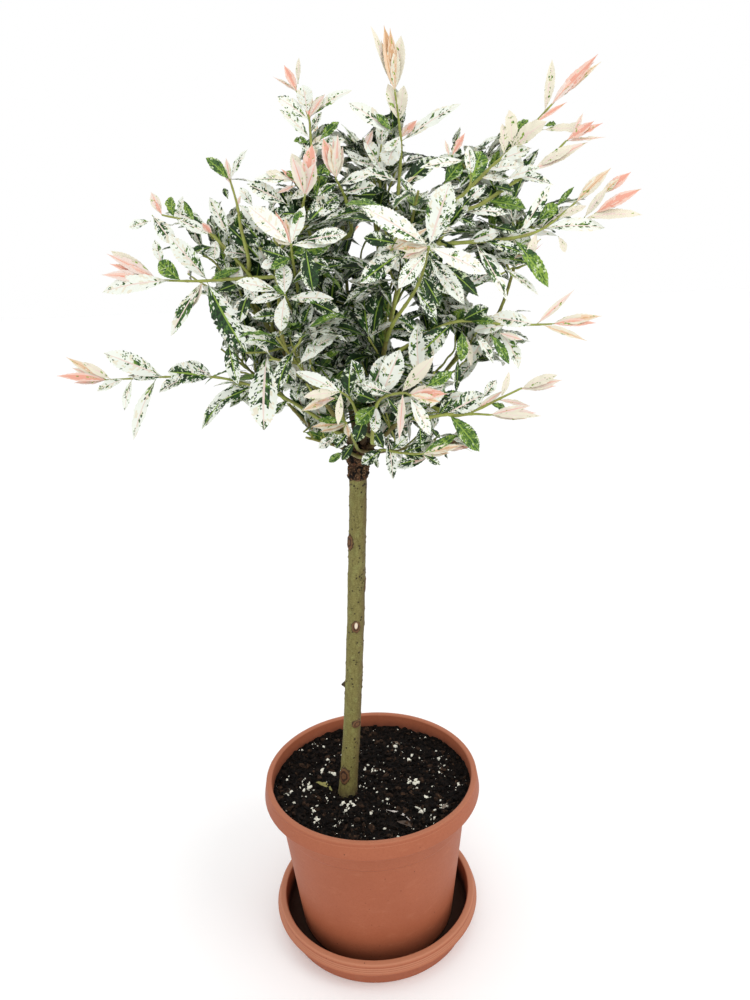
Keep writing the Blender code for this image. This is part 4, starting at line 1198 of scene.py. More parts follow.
    def end_limb(self, limb):
        """A twig's end: a pink bud on the crown's outside, else a rosette of small leaves."""
        spot, way = along_line(limb.points, 1.0)
        out = self.openness(spot + way * 0.03)
        if out > self.BUD_OPENNESS and self.chance.rand() < self.BUD_CHANCE:
            kind = ("pink", "salmon", "peach", "pink", "blush")[self.chance.randint(5)]
            self.bud(limb.mass, spot, unit(way + UP * 0.2), self.BUD_LENGTH * self.between(0.7, 1.0), kind)
            return
        for number in range(self.ROSETTE):
            turn = number * math.tau / self.ROSETTE + self.between(-0.3, 0.3)
            angle = math.radians(self.between(22, 50))
            self.side_leaf(limb.mass, spot, way, turn, angle, 1.0)

    def bud(self, mass, spot, way, length, kind):
        """Young leaves closed round a shoot's tip, with paler ones that open below them."""
        paler = {"salmon": "pink", "pink": "blush", "tan": "cream", "peach": "cream"}.get(kind, "cream")
        whorls = ((3, 3, 7, 1.00, kind), (3, 8, 15, 0.86, kind), (2, 18, 34, 0.74, paler))
        for count, low, high, size, leaf_kind in whorls:
            phase = self.chance.rand() * math.tau
            for number in range(count):
                side = sideways(way, phase + math.tau * number / count, 0.017)
                angle = math.radians(self.between(low, high))
                heading = way * math.cos(angle) + side * math.sin(angle)
                long = length * size * self.between(0.88, 1.05)
                self.leaves.append(Leaf(
                    spot - way * 0.002, heading, -side, long, long * self.between(0.16, 0.21),
                    self.between(-0.25, 0.10), self.between(0.35, 0.65), self.between(-0.25, 0.25),
                    0.0003, leaf_kind, PIECE_OF[mass]))

    def grow_shown(self, mass, pixels, depths, *leaves):
        """A shoot at the place that the photograph shows, joined to the nearest leader."""
        corners = [seen(pixel, depth) for pixel, depth in zip(pixels, np.linspace(*depths, len(pixels)))]
        root, way = self.nearest(corners[0] - unit(corners[1] - corners[0]) * 0.03)
        join = bend(root, way, corners[0], corners[1] - corners[0], 6)[:-1]
        line = smooth_line(corners, 8)
        points = np.concatenate((join, line))
        self.add_limb(points, self.SHOOT_RADIUS * 1.3, self.TIP_RADIUS, mass, "shoot")
        pixels = on_photo(line)[0]
        for *ends, width, kind in leaves:
            root_pixel, tip_pixel = ends[:2], ends[2:]
            number = norm(pixels - root_pixel, axis=1).argmin()
            start = seen(root_pixel, line[number][1])
            if norm(start - line[number]) < self.SNAP:
                start = line[number]
            heading = unit(line[min(number + 1, len(line) - 1)] - line[max(number - 1, 0)])
            self.shown_leaf(mass, start, heading, tip_pixel, width, kind)

    def shown_leaf(self, mass, start, heading, pixel, width, kind):
        """A leaf from its place on a shoot to the pixel where its tip shows."""
        young = kind in YOUNG
        reach = norm(seen(pixel, start[1]) - start)
        lean = self.between(-0.18, 0.12) if young else self.between(-0.35, 0.10)
        run = seen(pixel, start[1] + lean * reach) - start
        arch = self.between(-0.1, 0.3) if young else self.between(0.15, 0.55)
        length = norm(run) * (1 + arch * arch / 8)
        face = unit(-VIEW_AHEAD * 0.9 + UP * 0.18 + heading * 0.25)
        face = unit(face - unit(run) * unit(run).dot(face))
        way = unit(unit(run) + face * arch * ARCH_SLOPE)
        size = width * (start[1] - EYE[1]) / FOCUS * (0.95 if young else 1.12)
        fold = self.between(0.30, 0.60) if young else self.between(0.15, 0.50)
        self.leaves.append(Leaf(
            start, way, face, length, size, arch, fold, self.between(-0.35, 0.35),
            self.between(0.0005, 0.0011), kind, PIECE_OF[mass]))

    def grow_shoot(self, name, shoot):
        """A long shoot to the tip of a slim mass, with leaves and a bud."""
        carrier = min(MASSES, key=lambda mass: norm(MASSES[mass].middle - shoot.middle))
        root, way = self.nearest(MASSES[carrier].middle)
        ending = unit(shoot.tip - shoot.middle)
        bud = self.BUD_LENGTH * self.between(0.9, 1.1)
        end = shoot.tip - ending * bud
        points = bend(root, way, end, ending, 14)
        self.add_limb(points, self.SHOOT_RADIUS * 1.2, self.TIP_RADIUS, carrier, "shoot")
        spacing = self.settings.spacing
        for spot, heading, turn, share in self.pairs(points, 0.25, self.SHOOT_END, spacing, 0.3):
            angle = math.radians(self.between(35, 60))
            self.side_leaf(carrier, spot, heading, turn, angle, share)
        kind = ("pink", "salmon", "peach")[len(name) % 3]
        self.bud(carrier, points[-1], ending, bud, kind)


# Pieces


def plastic_finish(name, settings, grime_and_shade, top_dust_and_light_share):
    """Matt moulded plastic with fine grain, soft mottling and a few specks, darkened inside with soil stain
    and painted shade, and paled on upward faces with dust and painted light from above.
    """
    paint = Paint(name, gloss=0.22)
    place = paint.place()
    mottle = paint.cloud(place, 14.0, 4.0)
    fine = paint.cloud(place, 480.0, 3.0, 0.7)
    scuffs = paint.cloud(paint.place((1.0, 1.0, 2.6)), 46.0, 6.0, 0.7)
    normal = paint.node("ShaderNodeNewGeometry", output="Normal")
    facing_up = paint.node("ShaderNodeSeparateXYZ", None, {0: normal}, "Z")
    specks = paint.cloud(place, 300.0, 1.0)
    # Soil stain and painted shade inside the dish, darker further below the rim
    soiled = paint.mask("soiled") * (0.55 + 0.6 * paint.cloud(place, 90.0, 5.0))
    # Upward faces are paled with dust and with painted light from above
    colour = paint.layered(
        settings.plastic, (mottle, 0.52, 0.22, 0.6, settings.shade), (fine, 0.55, 0.12, 0.7, settings.shade),
        (scuffs, 0.64, 0.12, 0.18, settings.dust_and_top_light), (facing_up, 0.45, 0.45, top_dust_and_light_share, settings.dust_and_top_light),
        (specks, 0.775, 0.02, 0.7, shown(74, 38, 28)), (soiled, 0.50, 0.40, 0.92, grime_and_shade))
    rough = 0.46 + 0.16 * scuffs + 0.3 * soiled
    return paint.finish(colour, rough, fine, 0.00014)


def pot_profile(settings):
    """The pot's outline from the middle of its foot, over the rim, to the middle of its floor."""
    low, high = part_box("pot")
    # Radii of the band, the rim and the body's two ends
    band = high.x
    rim = band - 0.0026
    body_top = 0.1149
    base = 0.0948
    # Heights of the band's foot, the shoulder under it and the end of the body's turned foot
    band_foot = high.z - settings.rim_band
    shoulder = 0.1535
    base_turn = 0.0085
    # How thick the lip is, and how far the band stands out of the body
    lip = 0.0071
    inset = 0.0131

    def body(height):
        return base + (height - base_turn) / (band_foot - base_turn) * (body_top - base)

    floor = low.z + 0.0045
    soil_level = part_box("soil")[1].z
    profile = [
        (0.0, low.z), (base - 0.0033, low.z), (base - 0.0012, base_turn - 0.0024), (base, base_turn),
        (body(0.06), 0.06), (body(0.11), 0.11), (body(shoulder), shoulder),
        (body(shoulder) + 0.0018, shoulder + 0.0018), (band - inset, band_foot - 0.0012),
        (band - 0.0014, band_foot - 0.0006), (band, band_foot + 0.0012), (band - 0.0008, band_foot + 0.0070),
        (rim + 0.0004, high.z - 0.0052), (rim - 0.0002, high.z - 0.0045), (rim - 0.0001, high.z - 0.0014),
        (rim - 0.0014, high.z), (rim - lip + 0.0016, high.z), (rim - lip, high.z - 0.0014),
        (rim - lip - 0.0004, high.z - 0.0185), (body(soil_level) - settings.wall, soil_level - 0.001),
        (body(floor) - settings.wall, floor), (0.0, floor),
    ]
    return rounded(profile, 0.0014)


def cut_drain_holes(pot):
    """The four drain holes through the pot's floor."""
    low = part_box("pot")[0]
    holes, circle, radius, depth = 4, 0.055, 0.006, 0.018
    shape = bmesh.new()
    for hole in range(holes):
        turn = math.tau * (hole + 0.5) / holes
        spot = Vector((circle * math.cos(turn), circle * math.sin(turn), low.z + 0.002))
        bmesh.ops.create_cone(
            shape, cap_ends=True, segments=24, radius1=radius, radius2=radius, depth=depth,
            matrix=Matrix.Translation(spot))
    mesh = bpy.data.meshes.new("drain_pegs")
    shape.to_mesh(mesh)
    shape.free()
    cutter = add_object("drain_pegs", mesh)
    cut = pot.modifiers.new("drain_holes", "BOOLEAN")
    cut.operation = "DIFFERENCE"
    cut.object = cutter
    bpy.context.view_layer.objects.active = pot
    bpy.ops.object.modifier_apply(modifier=cut.name)
    bpy.data.objects.remove(cutter)


class WILLOW_OT_pot(bpy.types.Operator):
    """Make the pot and its saucer of moulded plastic"""

    bl_idname = "willow.pot"
    bl_label = "Pot and Saucer"

    def execute(self, context):
        settings = context.scene.willow_pot
        profile = pot_profile(settings)
        # The pot: soil stain and painted shade on its inside wall, a little dust and painted light from above
        # on upward faces
        finish = plastic_finish("terracotta_plastic", settings, shown(78, 42, 30), 0.30)
        pot = turned("willow_pot", profile, settings.sides, finish, self.soiled(profile, 0.016, 0.7))
        cut_drain_holes(pot)
        place_piece(pot, "terracotta_plastic", "pot")
        profile = self.saucer_profile(settings)
        # The saucer: its inside is painted near-black as shade in the gap round the pot, with some soil
        # stain, and its upward faces get more painted light from above
        finish = plastic_finish("saucer_plastic", settings, shown(22, 14, 10), 0.75)
        saucer = turned("willow_saucer", profile, settings.sides, finish, self.soiled(profile, 0.014, 1.3))
        place_piece(saucer, "terracotta_plastic", "saucer")
        return {"FINISHED"}

    def soiled(self, profile, reach, most):
        """How much soil stain and painted shade a dish gets at each point of its profile: inside, and more
        from the rim down.
        """
        height = profile[:, 1]
        inside = np.arange(len(profile)) > height.argmax() + 3
        return np.where(inside, np.clip((height.max() - 0.004 - height) / reach, 0, most), 0.0)

    def saucer_profile(self, settings):
        """The saucer's outline, from the middle of its foot over the ridged band to its floor."""
        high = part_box("saucer")[1]
        # Radii of the band, its slimmer top, the inside and the foot
        band = high.x
        slope = 0.0041
        rim = band - slope
        inside = band - 0.0116
        foot = 0.1139
        # Height of the band's foot, and how thick the wall and the floor are
        band_foot = high.z - settings.saucer_band
        wall = 0.0028
        floor = 0.0030
        profile = [
            (0.0, 0.0008), (foot - 0.010, 0.0008), (foot - 0.008, 0.0), (foot - 0.0012, 0.0), (foot, 0.0012),
            (foot + 0.0016, band_foot * 0.5), (inside + wall + 0.0008, band_foot - 0.0022),
            (band - 0.0022, band_foot - 0.0016), (band, band_foot)]
        for ridge in (0.30, 0.47, 0.64):
            height = band_foot + ridge * settings.saucer_band
            out = band - slope * ridge
            profile += [(out, height - 0.0007), (out - 0.0008, height), (out - 0.0001, height + 0.0006)]
        profile += [
            (rim + 0.0007, high.z - 0.0012), (rim - 0.0006, high.z), (inside + 0.0012, high.z),
            (inside, high.z - 0.0012), (inside - wall, 2 * floor), (inside - 0.0061, floor),
            (0.06, floor), (0.0, floor)]
        return rounded(profile, 0.0010, 3)


def peat_finish(name, colour, other, scale):
    """Moist crumbly mix: two browns in a fine cloud, damp and dry patches."""
    paint = Paint(name, gloss=0.10)
    place = paint.place()
    cloud = paint.cloud(place, scale, 6.0, 0.7)
    tint = paint.mix(cloud.above(0.57, 0.10), colour, other)
    rough = 0.70 + 0.25 * paint.cloud(place, 30.0, 3.0)
    return paint.finish(tint, rough, paint.cloud(place, 900.0, 4.0), 0.0008)


# The corners, about 1 from the middle, and the faces of a lump with twenty sides
ICO_POINTS = np.array([(0, 1, 1.618), (0, -1, 1.618), (0, 1, -1.618), (0, -1, -1.618),
                       (1, 1.618, 0), (-1, 1.618, 0), (1, -1.618, 0), (-1, -1.618, 0),
                       (1.618, 0, 1), (-1.618, 0, 1), (1.618, 0, -1), (-1.618, 0, -1)]) / 1.902
ICO_FACES = np.array([(0, 1, 8), (0, 9, 1), (0, 5, 9), (0, 4, 5), (0, 8, 4), (1, 9, 7), (1, 7, 6), (1, 6, 8),
                      (2, 3, 11), (2, 10, 3), (2, 4, 10), (2, 5, 4), (2, 11, 5), (3, 6, 7), (3, 10, 6),
                      (3, 7, 11), (4, 8, 10), (5, 11, 9), (6, 10, 8), (7, 9, 11)])


class WILLOW_OT_soil(bpy.types.Operator):
    """Make the potting mix with its crumbs, chips and white grains"""

    bl_idname = "willow.soil"
    bl_label = "Soil"

    RINGS = 96
    SPOKES = 320
    # Radius of the soil by the wall, and how far its top stands above the plain solid's
    EDGE = 0.1165
    RISE = 0.0042
    # How near to the middle of the stem a grain may lie
    STEM_ROOM = 0.0115
    # Where white grains lie close together: pixel across and down, spread in pixels, and how many
    CLUSTERS = (
        (306, 786, 4, 9), (311, 788, 4, 5), (322, 770, 3, 5), (333, 773, 2, 2), (315, 747, 2, 3),
        (331, 761, 2, 2), (373, 771, 5, 9), (369, 765, 3, 4), (394, 747, 4, 4), (409, 759, 4, 5),
        (423, 763, 2, 2), (438, 760, 4, 3), (441, 769, 3, 4), (452, 778, 3, 3), (409, 782, 4, 8),
        (414, 785, 4, 7), (363, 787, 3, 5), (352, 803, 6, 10), (343, 805, 5, 6), (372, 813, 3, 4),
        (386, 800, 4, 4), (312, 810, 4, 4), (328, 801, 4, 4), (316, 823, 4, 6), (443, 808, 5, 8),
        (419, 811, 4, 4), (287, 794, 3, 3), (294, 803, 3, 3), (301, 750, 4, 4), (460, 786, 3, 3),
        (423, 797, 4, 3), (404, 732, 4, 3), (340, 822, 5, 5), (430, 818, 5, 4),
    )
    # Fallen leaves and chips: the pixels of both ends, the width in metres and the colour
    LITTER = (
        ((316, 782), (332, 791), 0.0062, shown(148, 142, 78)),
        ((386, 809), (410, 820), 0.0032, shown(198, 190, 184)),
        ((441, 811), (453, 803), 0.0050, shown(122, 110, 98)),
        ((397, 822), (412, 827), 0.0062, shown(72, 56, 44)),
        ((392, 741), (400, 745), 0.0030, shown(92, 72, 54)),
    )

    def execute(self, context):
        settings = context.scene.willow_soil
        low, high = (np.array(corner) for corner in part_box("soil"))
        self.level = high[2] + self.RISE
        self.chance = np.random.RandomState(5)
        profile = pot_profile(context.scene.willow_pot)
        self.inside = profile[profile[:, 1].argmax() + 4:-1][::-1]
        peat = peat_finish("potting_mix", settings.peat, settings.fibre, 260.0)
        self.make_ground(low, peat)
        self.make_crumbs(settings, peat)
        self.make_litter()
        return {"FINISHED"}

    def wall_at(self, height):
        """Radius of the pot's inside at a height."""
        return np.interp(height, self.inside[:, 1], self.inside[:, 0])

    def height(self, points):
        """The soil's surface: heaped a little by the wall, and crumbly."""
        flat = np.array(points)
        flat[:, 2] = 0.0
        out = norm(flat[:, :2], axis=1) / self.EDGE
        sides = np.abs(flat[:, 0]) / self.EDGE
        back = np.clip(flat[:, 1] / self.EDGE, 0, 1)
        heap = np.clip((out - 0.60) / 0.40, 0, 1) ** 1.2 * (0.0010 + 0.0022 * sides + 0.0012 * back)
        broad = 0.0020 * bumpy(flat, 0.030, 3.0)
        lumps = 0.0040 * np.abs(bumpy(flat, 0.0100, 9.0, 2)) - 0.0012
        crumbly = 0.0015 * bumpy(flat, 0.0042, 5.0)
        return self.level + heap + broad + lumps + crumbly

    def make_ground(self, low, peat):
        """The soil's body: its uneven top, and two rings under it that step in to a flat underside."""
        ways = spokes(self.SPOKES)
        tuck = 0.0008
        edge = self.wall_at(self.height(ways * self.EDGE)) + tuck
        shares = np.linspace(0.02, 1.0, self.RINGS)
        rings = shares[:, None, None] * edge[None, :, None] * ways[None]
        flat = rings.reshape(-1, 3)
        flat[:, 2] = self.height(flat)
        under = np.stack((rings[-1] * 0.90, rings[-1] * 0.76))
        under[0, :, 2] = self.level - 0.016
        under[1, :, 2] = low[2]
        rings = np.concatenate((rings, under))
        points, faces = capped(rings, (0.0, 0.0, self.level), (0.0, 0.0, low[2]))
        faces = [group[:, ::-1] for group in faces]
        ground = mesh_object("willow_soil", points, faces, [peat])
        place_piece(ground, "potting_soil", "soil")

    def make_crumbs(self, settings, peat):
        """Loose crumbs of peat, strips of bark and white grains of perlite."""
        fibre = peat_finish("brown_crumbs", settings.fibre, shown(84, 62, 46), 400.0)
        paint = Paint("white_grains", gloss=0.3)
        pits = paint.cloud(paint.place(), 1100.0, 3.0)
        tint = paint.layered(settings.perlite, (pits, 0.56, 0.12, 0.6, shown(190, 184, 154)))
        perlite = paint.finish(tint, 0.75 + 0.15 * pits, pits, 0.0004)
        crumbs = Heap()
        for _ in range(settings.crumbs):
            size = 0.0009 + 0.0034 * self.chance.rand() ** 2.2
            slot = 1 if self.chance.rand() < 0.14 else 0
            self.grain(crumbs, self.anywhere(), size, slot, 0.70)
        strips = 26
        for _ in range(strips):
            self.grain(crumbs, self.anywhere(), self.chance.uniform(0.0028, 0.0060), 1, 0.25)
        piece = crumbs.make("soil_crumbs", [peat, fibre], smooth=False)
        place_piece(piece, "potting_soil")
        grains = Heap()
        for across, down, spread, count in self.CLUSTERS:
            for _ in range(count):
                pixel = (self.chance.normal(across, spread * 0.7), self.chance.normal(down, spread * 0.45))
                spot = on_level(pixel, self.level)
                self.grain(grains, spot, 0.0009 + 0.0020 * self.chance.rand() ** 1.4, 0, 0.85)
        for _ in range(settings.grains):
            size = 0.0003 + 0.0016 * self.chance.rand() ** 3.0
            self.grain(grains, self.anywhere(), size, 0, 0.85)
        piece = grains.make("soil_grains", [perlite], smooth=False)
        place_piece(piece, "potting_soil")

    def anywhere(self):
        """A chance place on the soil."""
        turn = self.chance.rand() * math.tau
        reach = self.EDGE * math.sqrt(self.chance.rand())
        return np.array((reach * math.cos(turn), reach * math.sin(turn), 0.0))

    def grain(self, heap, spot, size, slot, flatness):
        """One uneven lump that sits in the soil's surface, clear of the stem and the wall."""
        lump = ICO_POINTS * self.chance.uniform(0.60, 1.25, (len(ICO_POINTS), 1)) * size
        lump *= (self.chance.uniform(1.0, 1.35), self.chance.uniform(0.55, 1.0), flatness)
        turn = Matrix.Rotation(self.chance.rand() * math.tau, 3, "Z")
        lump = lump @ np.array(turn @ Matrix.Rotation(self.chance.normal(0, 0.5), 3, "X")).T
        height = self.height(spot[None])[0]
        off_stem = norm(spot[:2] - TRUNK_LINE[0][:2])
        if off_stem < self.STEM_ROOM or norm(spot[:2]) > self.wall_at(height) - size:
            return
        heap.add(lump + (spot[0], spot[1], height + size * flatness * 0.35), [ICO_FACES], slot)

    def make_litter(self):
        """A few leaves and chips that fell on the soil."""
        litter = Heap()
        finishes = []
        rows, columns = 13, 5
        for first, last, width, colour in self.LITTER:
            start, end = (on_level(pixel, self.level + 0.002) for pixel in (first, last))
            share = np.linspace(0, 1, rows)[:, None]
            across = np.linspace(-1.0, 1.0, columns)
            half = width / 2 * np.sin(math.pi * np.clip(share, 0.03, 0.97)) ** 0.7 * across
            way = unit(end - start)
            curl = 0.10 * norm(end - start) * np.sin(math.pi * share)
            points = np.zeros((rows, columns, 3))
            points[..., 0] = start[0] + share * (end - start)[0] - (half + curl) * way[1]
            points[..., 1] = start[1] + share * (end - start)[1] + (half + curl) * way[0]
            flat = points.reshape(-1, 3)
            rest = self.height(flat)
            lifted = 0.0016 * np.abs(half.ravel()) / width + 0.0009 * bumpy(flat, 0.005)
            flat[:, 2] = 0.4 * rest + 0.6 * rest.max() + 0.0006 + lifted
            litter.add(flat, [grid_faces(rows, columns, False)], len(finishes))
            paint = Paint("litter_%d" % len(finishes), 0.7)
            veins = paint.cloud(paint.place(), 500.0, 3.0)
            darker = tuple(part * 0.55 for part in colour)
            finishes.append(paint.finish(paint.layered(colour, (veins, 0.55, 0.12, 0.7, darker))))
        place_piece(litter.make("soil_litter", finishes), "potting_soil")


# Marks on the stem: height, turn in degrees from +X, half height and half width in metres, how far
# the mark swells out, and how pale its heart is.
Mark = namedtuple("Mark", "height turn tall wide swell heart")
SCARS = (
    Mark(0.5010, -148, 0.0085, 0.0058, 0.0016, 0.0),
    Mark(0.4030, -86, 0.0068, 0.0050, 0.0012, 1.0),
    Mark(0.2805, -58, 0.0052, 0.0056, 0.0022, 0.0),
    Mark(0.2110, -124, 0.0105, 0.0072, 0.0017, 0.0),
    Mark(0.4500, -8, 0.0090, 0.0034, 0.0009, 0.0),
    Mark(0.4550, 84, 0.0060, 0.0042, 0.0010, 1.0),
    Mark(0.3400, 120, 0.0060, 0.0044, 0.0014, 0.0),
    Mark(0.2450, 40, 0.0070, 0.0050, 0.0012, 0.0),
)
BUD_STUB = Mark(0.3285, -168, 0.0036, 0.0028, 0.0046, 0.0)


class WILLOW_OT_stem(bpy.types.Operator):
    """Make the bare stem with its streaks, pores and healed cuts"""

    bl_idname = "willow.stem"
    bl_label = "Stem"

    SIDES = 96
    STEP = 0.0010
    PORES = 420
    PORE_SWELL = 0.00085
    # How far the stem goes on inside the graft, and how far up the soil's damp reaches
    HIDDEN = 0.0085
    DAMP = 0.016
    # The turn from +X of the side that the sun browned, which is also painted darker as shade
    BROWNED_AND_SHADED_SIDE = 0.35

    def execute(self, context):
        settings = context.scene.willow_bark
        low = TRUNK_LINE[0][2]
        high = TRUNK_LINE[-1][2]
        heights = np.arange(low, high + self.HIDDEN, self.STEP)
        turns = np.arange(self.SIDES) * math.tau / self.SIDES
        height, turn = (grid.ravel() for grid in np.meshgrid(heights, turns, indexing="ij"))
        radius = np.interp(height, TRUNK_LINE[:, 2], TRUNK_RADII)
        swell, masks = self.relief(height, turn, radius, settings)
        # One side of the stem, browned by the sun and painted darker as shade
        masks["sunny"] = np.cos(turn - self.BROWNED_AND_SHADED_SIDE)
        masks["damp"] = np.exp((low - height) / self.DAMP)
        ways = np.tile(spokes(self.SIDES), (len(heights), 1))
        points = at_places(TRUNK_LINE, TRUNK_LINE[:, 2], height) + (radius + swell)[:, None] * ways
        points[:, 2] = height
        rings = points.reshape(len(heights), self.SIDES, 3)
        points, faces = capped(rings, (*TRUNK_LINE[0][:2], low), (*TRUNK_LINE[-1][:2], heights[-1]))
        masks = {name: np.append(values, (0.0, 0.0)) for name, values in masks.items()}
        stem = mesh_object("willow_stem", points, faces, [self.finish(settings)], masks=masks)
        place_piece(stem, "green_bark", "trunk")
        return {"FINISHED"}

    def relief(self, height, turn, radius, settings):
        """How far each point swells out, and the masks of the marks that the finish reads."""
        girth, stretch = 0.0105, 0.22
        around = np.stack((np.cos(turn) * girth, np.sin(turn) * girth, height * stretch), axis=-1)
        swell = settings.relief * bumpy(around, 0.0022, 2.0, 2)
        around[:, 2] = height
        swell += 0.00045 * bumpy(around, 0.018, 7.0)
        chance = np.random.RandomState(21)
        pores = np.zeros(len(height))
        for _ in range(self.PORES):
            at = chance.uniform(height.min(), height.max())
            where = chance.rand() * math.tau
            tall, wide = chance.uniform(0.0008, 0.0013), chance.uniform(0.0008, 0.0015)
            strength = chance.rand() ** 0.8
            near = np.abs(height - at) < 4 * tall
            away = self.distance((height[near], turn[near], radius[near]), at, where, tall, wide)
            pores[near] = np.maximum(pores[near], strength * np.exp(-away ** 2))
        swell += self.PORE_SWELL * pores
        scar, rim, pale = np.zeros((3, len(height)))
        uneven = 1 + 0.20 * bumpy(around, 0.0034, 31.0, 2)
        bark = height, turn, radius
        for mark in SCARS:
            where = math.radians(mark.turn)
            away = self.distance(bark, mark.height, where, mark.tall, mark.wide) * uneven
            ring = np.exp(-((away - 0.78) / 0.20) ** 2)
            inner = np.exp(-((away - 0.30) / 0.14) ** 2)
            swell += mark.swell * (0.55 * np.exp(-(away / 0.95) ** 4) + 0.6 * ring + 0.25 * inner)
            scar = np.maximum(scar, np.clip(1.5 - away, 0, 1))
            rim = np.maximum(rim, np.exp(-((away - 1.0) / 0.12) ** 2) * 0.8)
            rim = np.maximum(rim, np.exp(-((away - 0.52) / 0.12) ** 2))
            middle = mark.height + 0.25 * mark.tall
            heart = self.distance(bark, middle, where, mark.tall * 0.60, mark.wide * 0.36)
            pale = np.maximum(pale, mark.heart * np.exp(-heart ** 4))
        stub = BUD_STUB
        away = self.distance(bark, stub.height, math.radians(stub.turn), stub.tall, stub.wide)
        swell += stub.swell * np.exp(-away ** 2 * 1.6)
        rim = np.maximum(rim, np.exp(-(away * 0.9) ** 4))
        return swell, {"scar": scar, "rim": rim, "pale": pale, "pore": pores}

    def distance(self, bark, at, where, tall, wide):
        """Distance from a mark's middle along the bark, in the mark's own sizes."""
        height, turn, radius = bark
        apart = (turn - where + math.pi) % math.tau - math.pi
        return np.hypot((height - at) / tall, apart * radius / wide)

    def finish(self, settings):
        """Olive bark, browned by the sun and darkened with painted shade on one side, with streaks, wrinkles,
        pores and healed cuts.
        """
        paint = Paint("olive_bark", gloss=0.22)
        streaks = paint.cloud(paint.place((1.0, 1.0, 0.22)), 420.0, 5.0, 0.65)
        patches = paint.cloud(paint.place((1.0, 1.0, 0.8)), 120.0, 4.0, 0.65)
        # Browning and painted shade on one side of the stem
        sunny = paint.mask("sunny") * 0.5 + 0.35 * patches
        wrinkles = paint.cloud(paint.place((1.0, 1.0, 1.8)), 620.0, 4.0, 0.7)
        damp = paint.mask("damp") * (0.5 + streaks)
        knotty = paint.mask("scar") * (0.7 + 0.6 * streaks)
        colour = paint.layered(
            settings.olive, (sunny, 0.34, 0.34, 0.9, settings.brown),
            (streaks, 0.56, 0.12, 0.55, shown(80, 74, 34)), (patches, 0.60, 0.10, 0.5, shown(140, 142, 84)),
            (wrinkles, 0.56, 0.10, 0.45, shown(74, 66, 36)),
            (1 - wrinkles, 0.58, 0.08, 0.30, shown(150, 146, 96)),
            (paint.mask("pore"), 0.34, 0.18, 0.95, shown(44, 32, 20)),
            (damp, 0.50, 0.35, 0.8, shown(66, 54, 38)), (knotty, 0.50, 0.22, 1.0, settings.scar),
            (paint.mask("rim"), 0.50, 0.30, 0.9, shown(50, 32, 24)),
            (paint.mask("pale"), 0.5, 0.2, 1.0, shown(222, 206, 184)))
        return paint.finish(colour, 0.55 + 0.25 * streaks, streaks + 0.6 * wrinkles, 0.0006)


class WILLOW_OT_graft(bpy.types.Operator):
    """Make the rough, flaky graft at the top of the stem"""

    bl_idname = "willow.graft"
    bl_label = "Graft"

    SIDES = 130
    ROWS = 90
    # How far above the stem's end the flaky bark starts, and the height over which it swells out
    ABOVE = 0.0050
    FLARE = 0.0035

    def execute(self, context):
        settings = context.scene.willow_bark
        low, high = (np.array(corner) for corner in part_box("graft_head"))
        foot = low[2] + self.ABOVE
        collar = 0.0104
        stem = TRUNK_RADII[-1] - 0.0004
        ways = spokes(self.SIDES)
        rows = []
        for share in np.linspace(0, 1, self.ROWS):
            height = foot + (high[2] - foot) * share ** 0.9
            lean = np.interp(height, (foot, HEAD[2]), (0.0, 1.0))
            middle = TRUNK_LINE[-1] * (1 - lean) + HEAD * lean
            knob = math.sqrt(max(HEAD_RADIUS ** 2 - (height - HEAD[2]) ** 2, 0.0))
            radius = max(knob, collar) if height < HEAD[2] else knob
            flare = min((height - foot) / self.FLARE, 1.0)
            radius = max(stem + (radius - stem) * math.sin(flare * math.pi / 2), 0.0012)
            rows.append((*middle[:2], height) + radius * ways)
        rings = np.array(rows)
        points = rings.reshape(-1, 3)
        axis = np.repeat(rings.mean(axis=1), self.SIDES, axis=0)
        out = units(points - axis)
        plates = bumpy(points * (1.0, 1.0, 0.55), 0.0046, 4.0, 3)
        flakes = np.abs(bumpy(points, 0.0028, 11.0, 2))
        ragged = np.clip((points[:, 2] - foot) / self.FLARE, 0, 1)
        points = points + out * (ragged * (0.0013 * plates + 0.0023 * flakes))[:, None]
        points[:, 2] += (1 - ragged) * 0.0016 * bumpy(points * (1.0, 1.0, 0.0), 0.0050, 8.0)
        fresh = points.reshape(rings.shape)
        closed, faces = capped(fresh, (*TRUNK_LINE[-1][:2], foot), (HEAD[0], HEAD[1], fresh[-1, :, 2].mean()))
        crack = np.append(np.clip(0.5 - plates, 0, 1), (0.5, 0.5))
        piece = mesh_object("willow_graft", closed, faces, [self.finish(settings)], masks={"crack": crack})
        place_piece(piece, "graft_bark", "graft_head")
        return {"FINISHED"}

    def finish(self, settings):
        """Dark bark with paler flakes and black cracks."""
        paint = Paint("graft_bark", gloss=0.15)
        place = paint.place()
        flakes = paint.cloud(place, 420.0, 6.0, 0.75)
        colour = paint.layered(
            settings.graft, (flakes, 0.55, 0.08, 1.0, shown(138, 106, 76)),
            (paint.cloud(place, 210.0, 3.0), 0.60, 0.08, 0.5, shown(104, 62, 40)),
            (paint.mask("crack"), 0.62, 0.14, 1.0, shown(20, 14, 10)))
        return paint.finish(colour, 0.75 + 0.2 * flakes, flakes, 0.0010)


def limb_finish(settings):
    """Olive bark on the boughs, browner where they are thick."""
    paint = Paint("bough_bark", gloss=0.25)
    streaks = paint.cloud(paint.place(), 380.0, 4.0)
    colour = paint.mix(streaks.above(0.50, 0.16) * 0.8, settings.olive, settings.brown)
    age = paint.mask("age")
    colour = paint.mix(age.above(0.0022, 0.0010), paint.mix(streaks, settings.twig, colour), colour)
    colour = paint.mix(age.above(0.0042, 0.0014), colour, paint.mix(streaks, settings.brown, settings.graft))
    return paint.finish(colour, 0.50 + 0.25 * streaks, streaks, 0.0003)


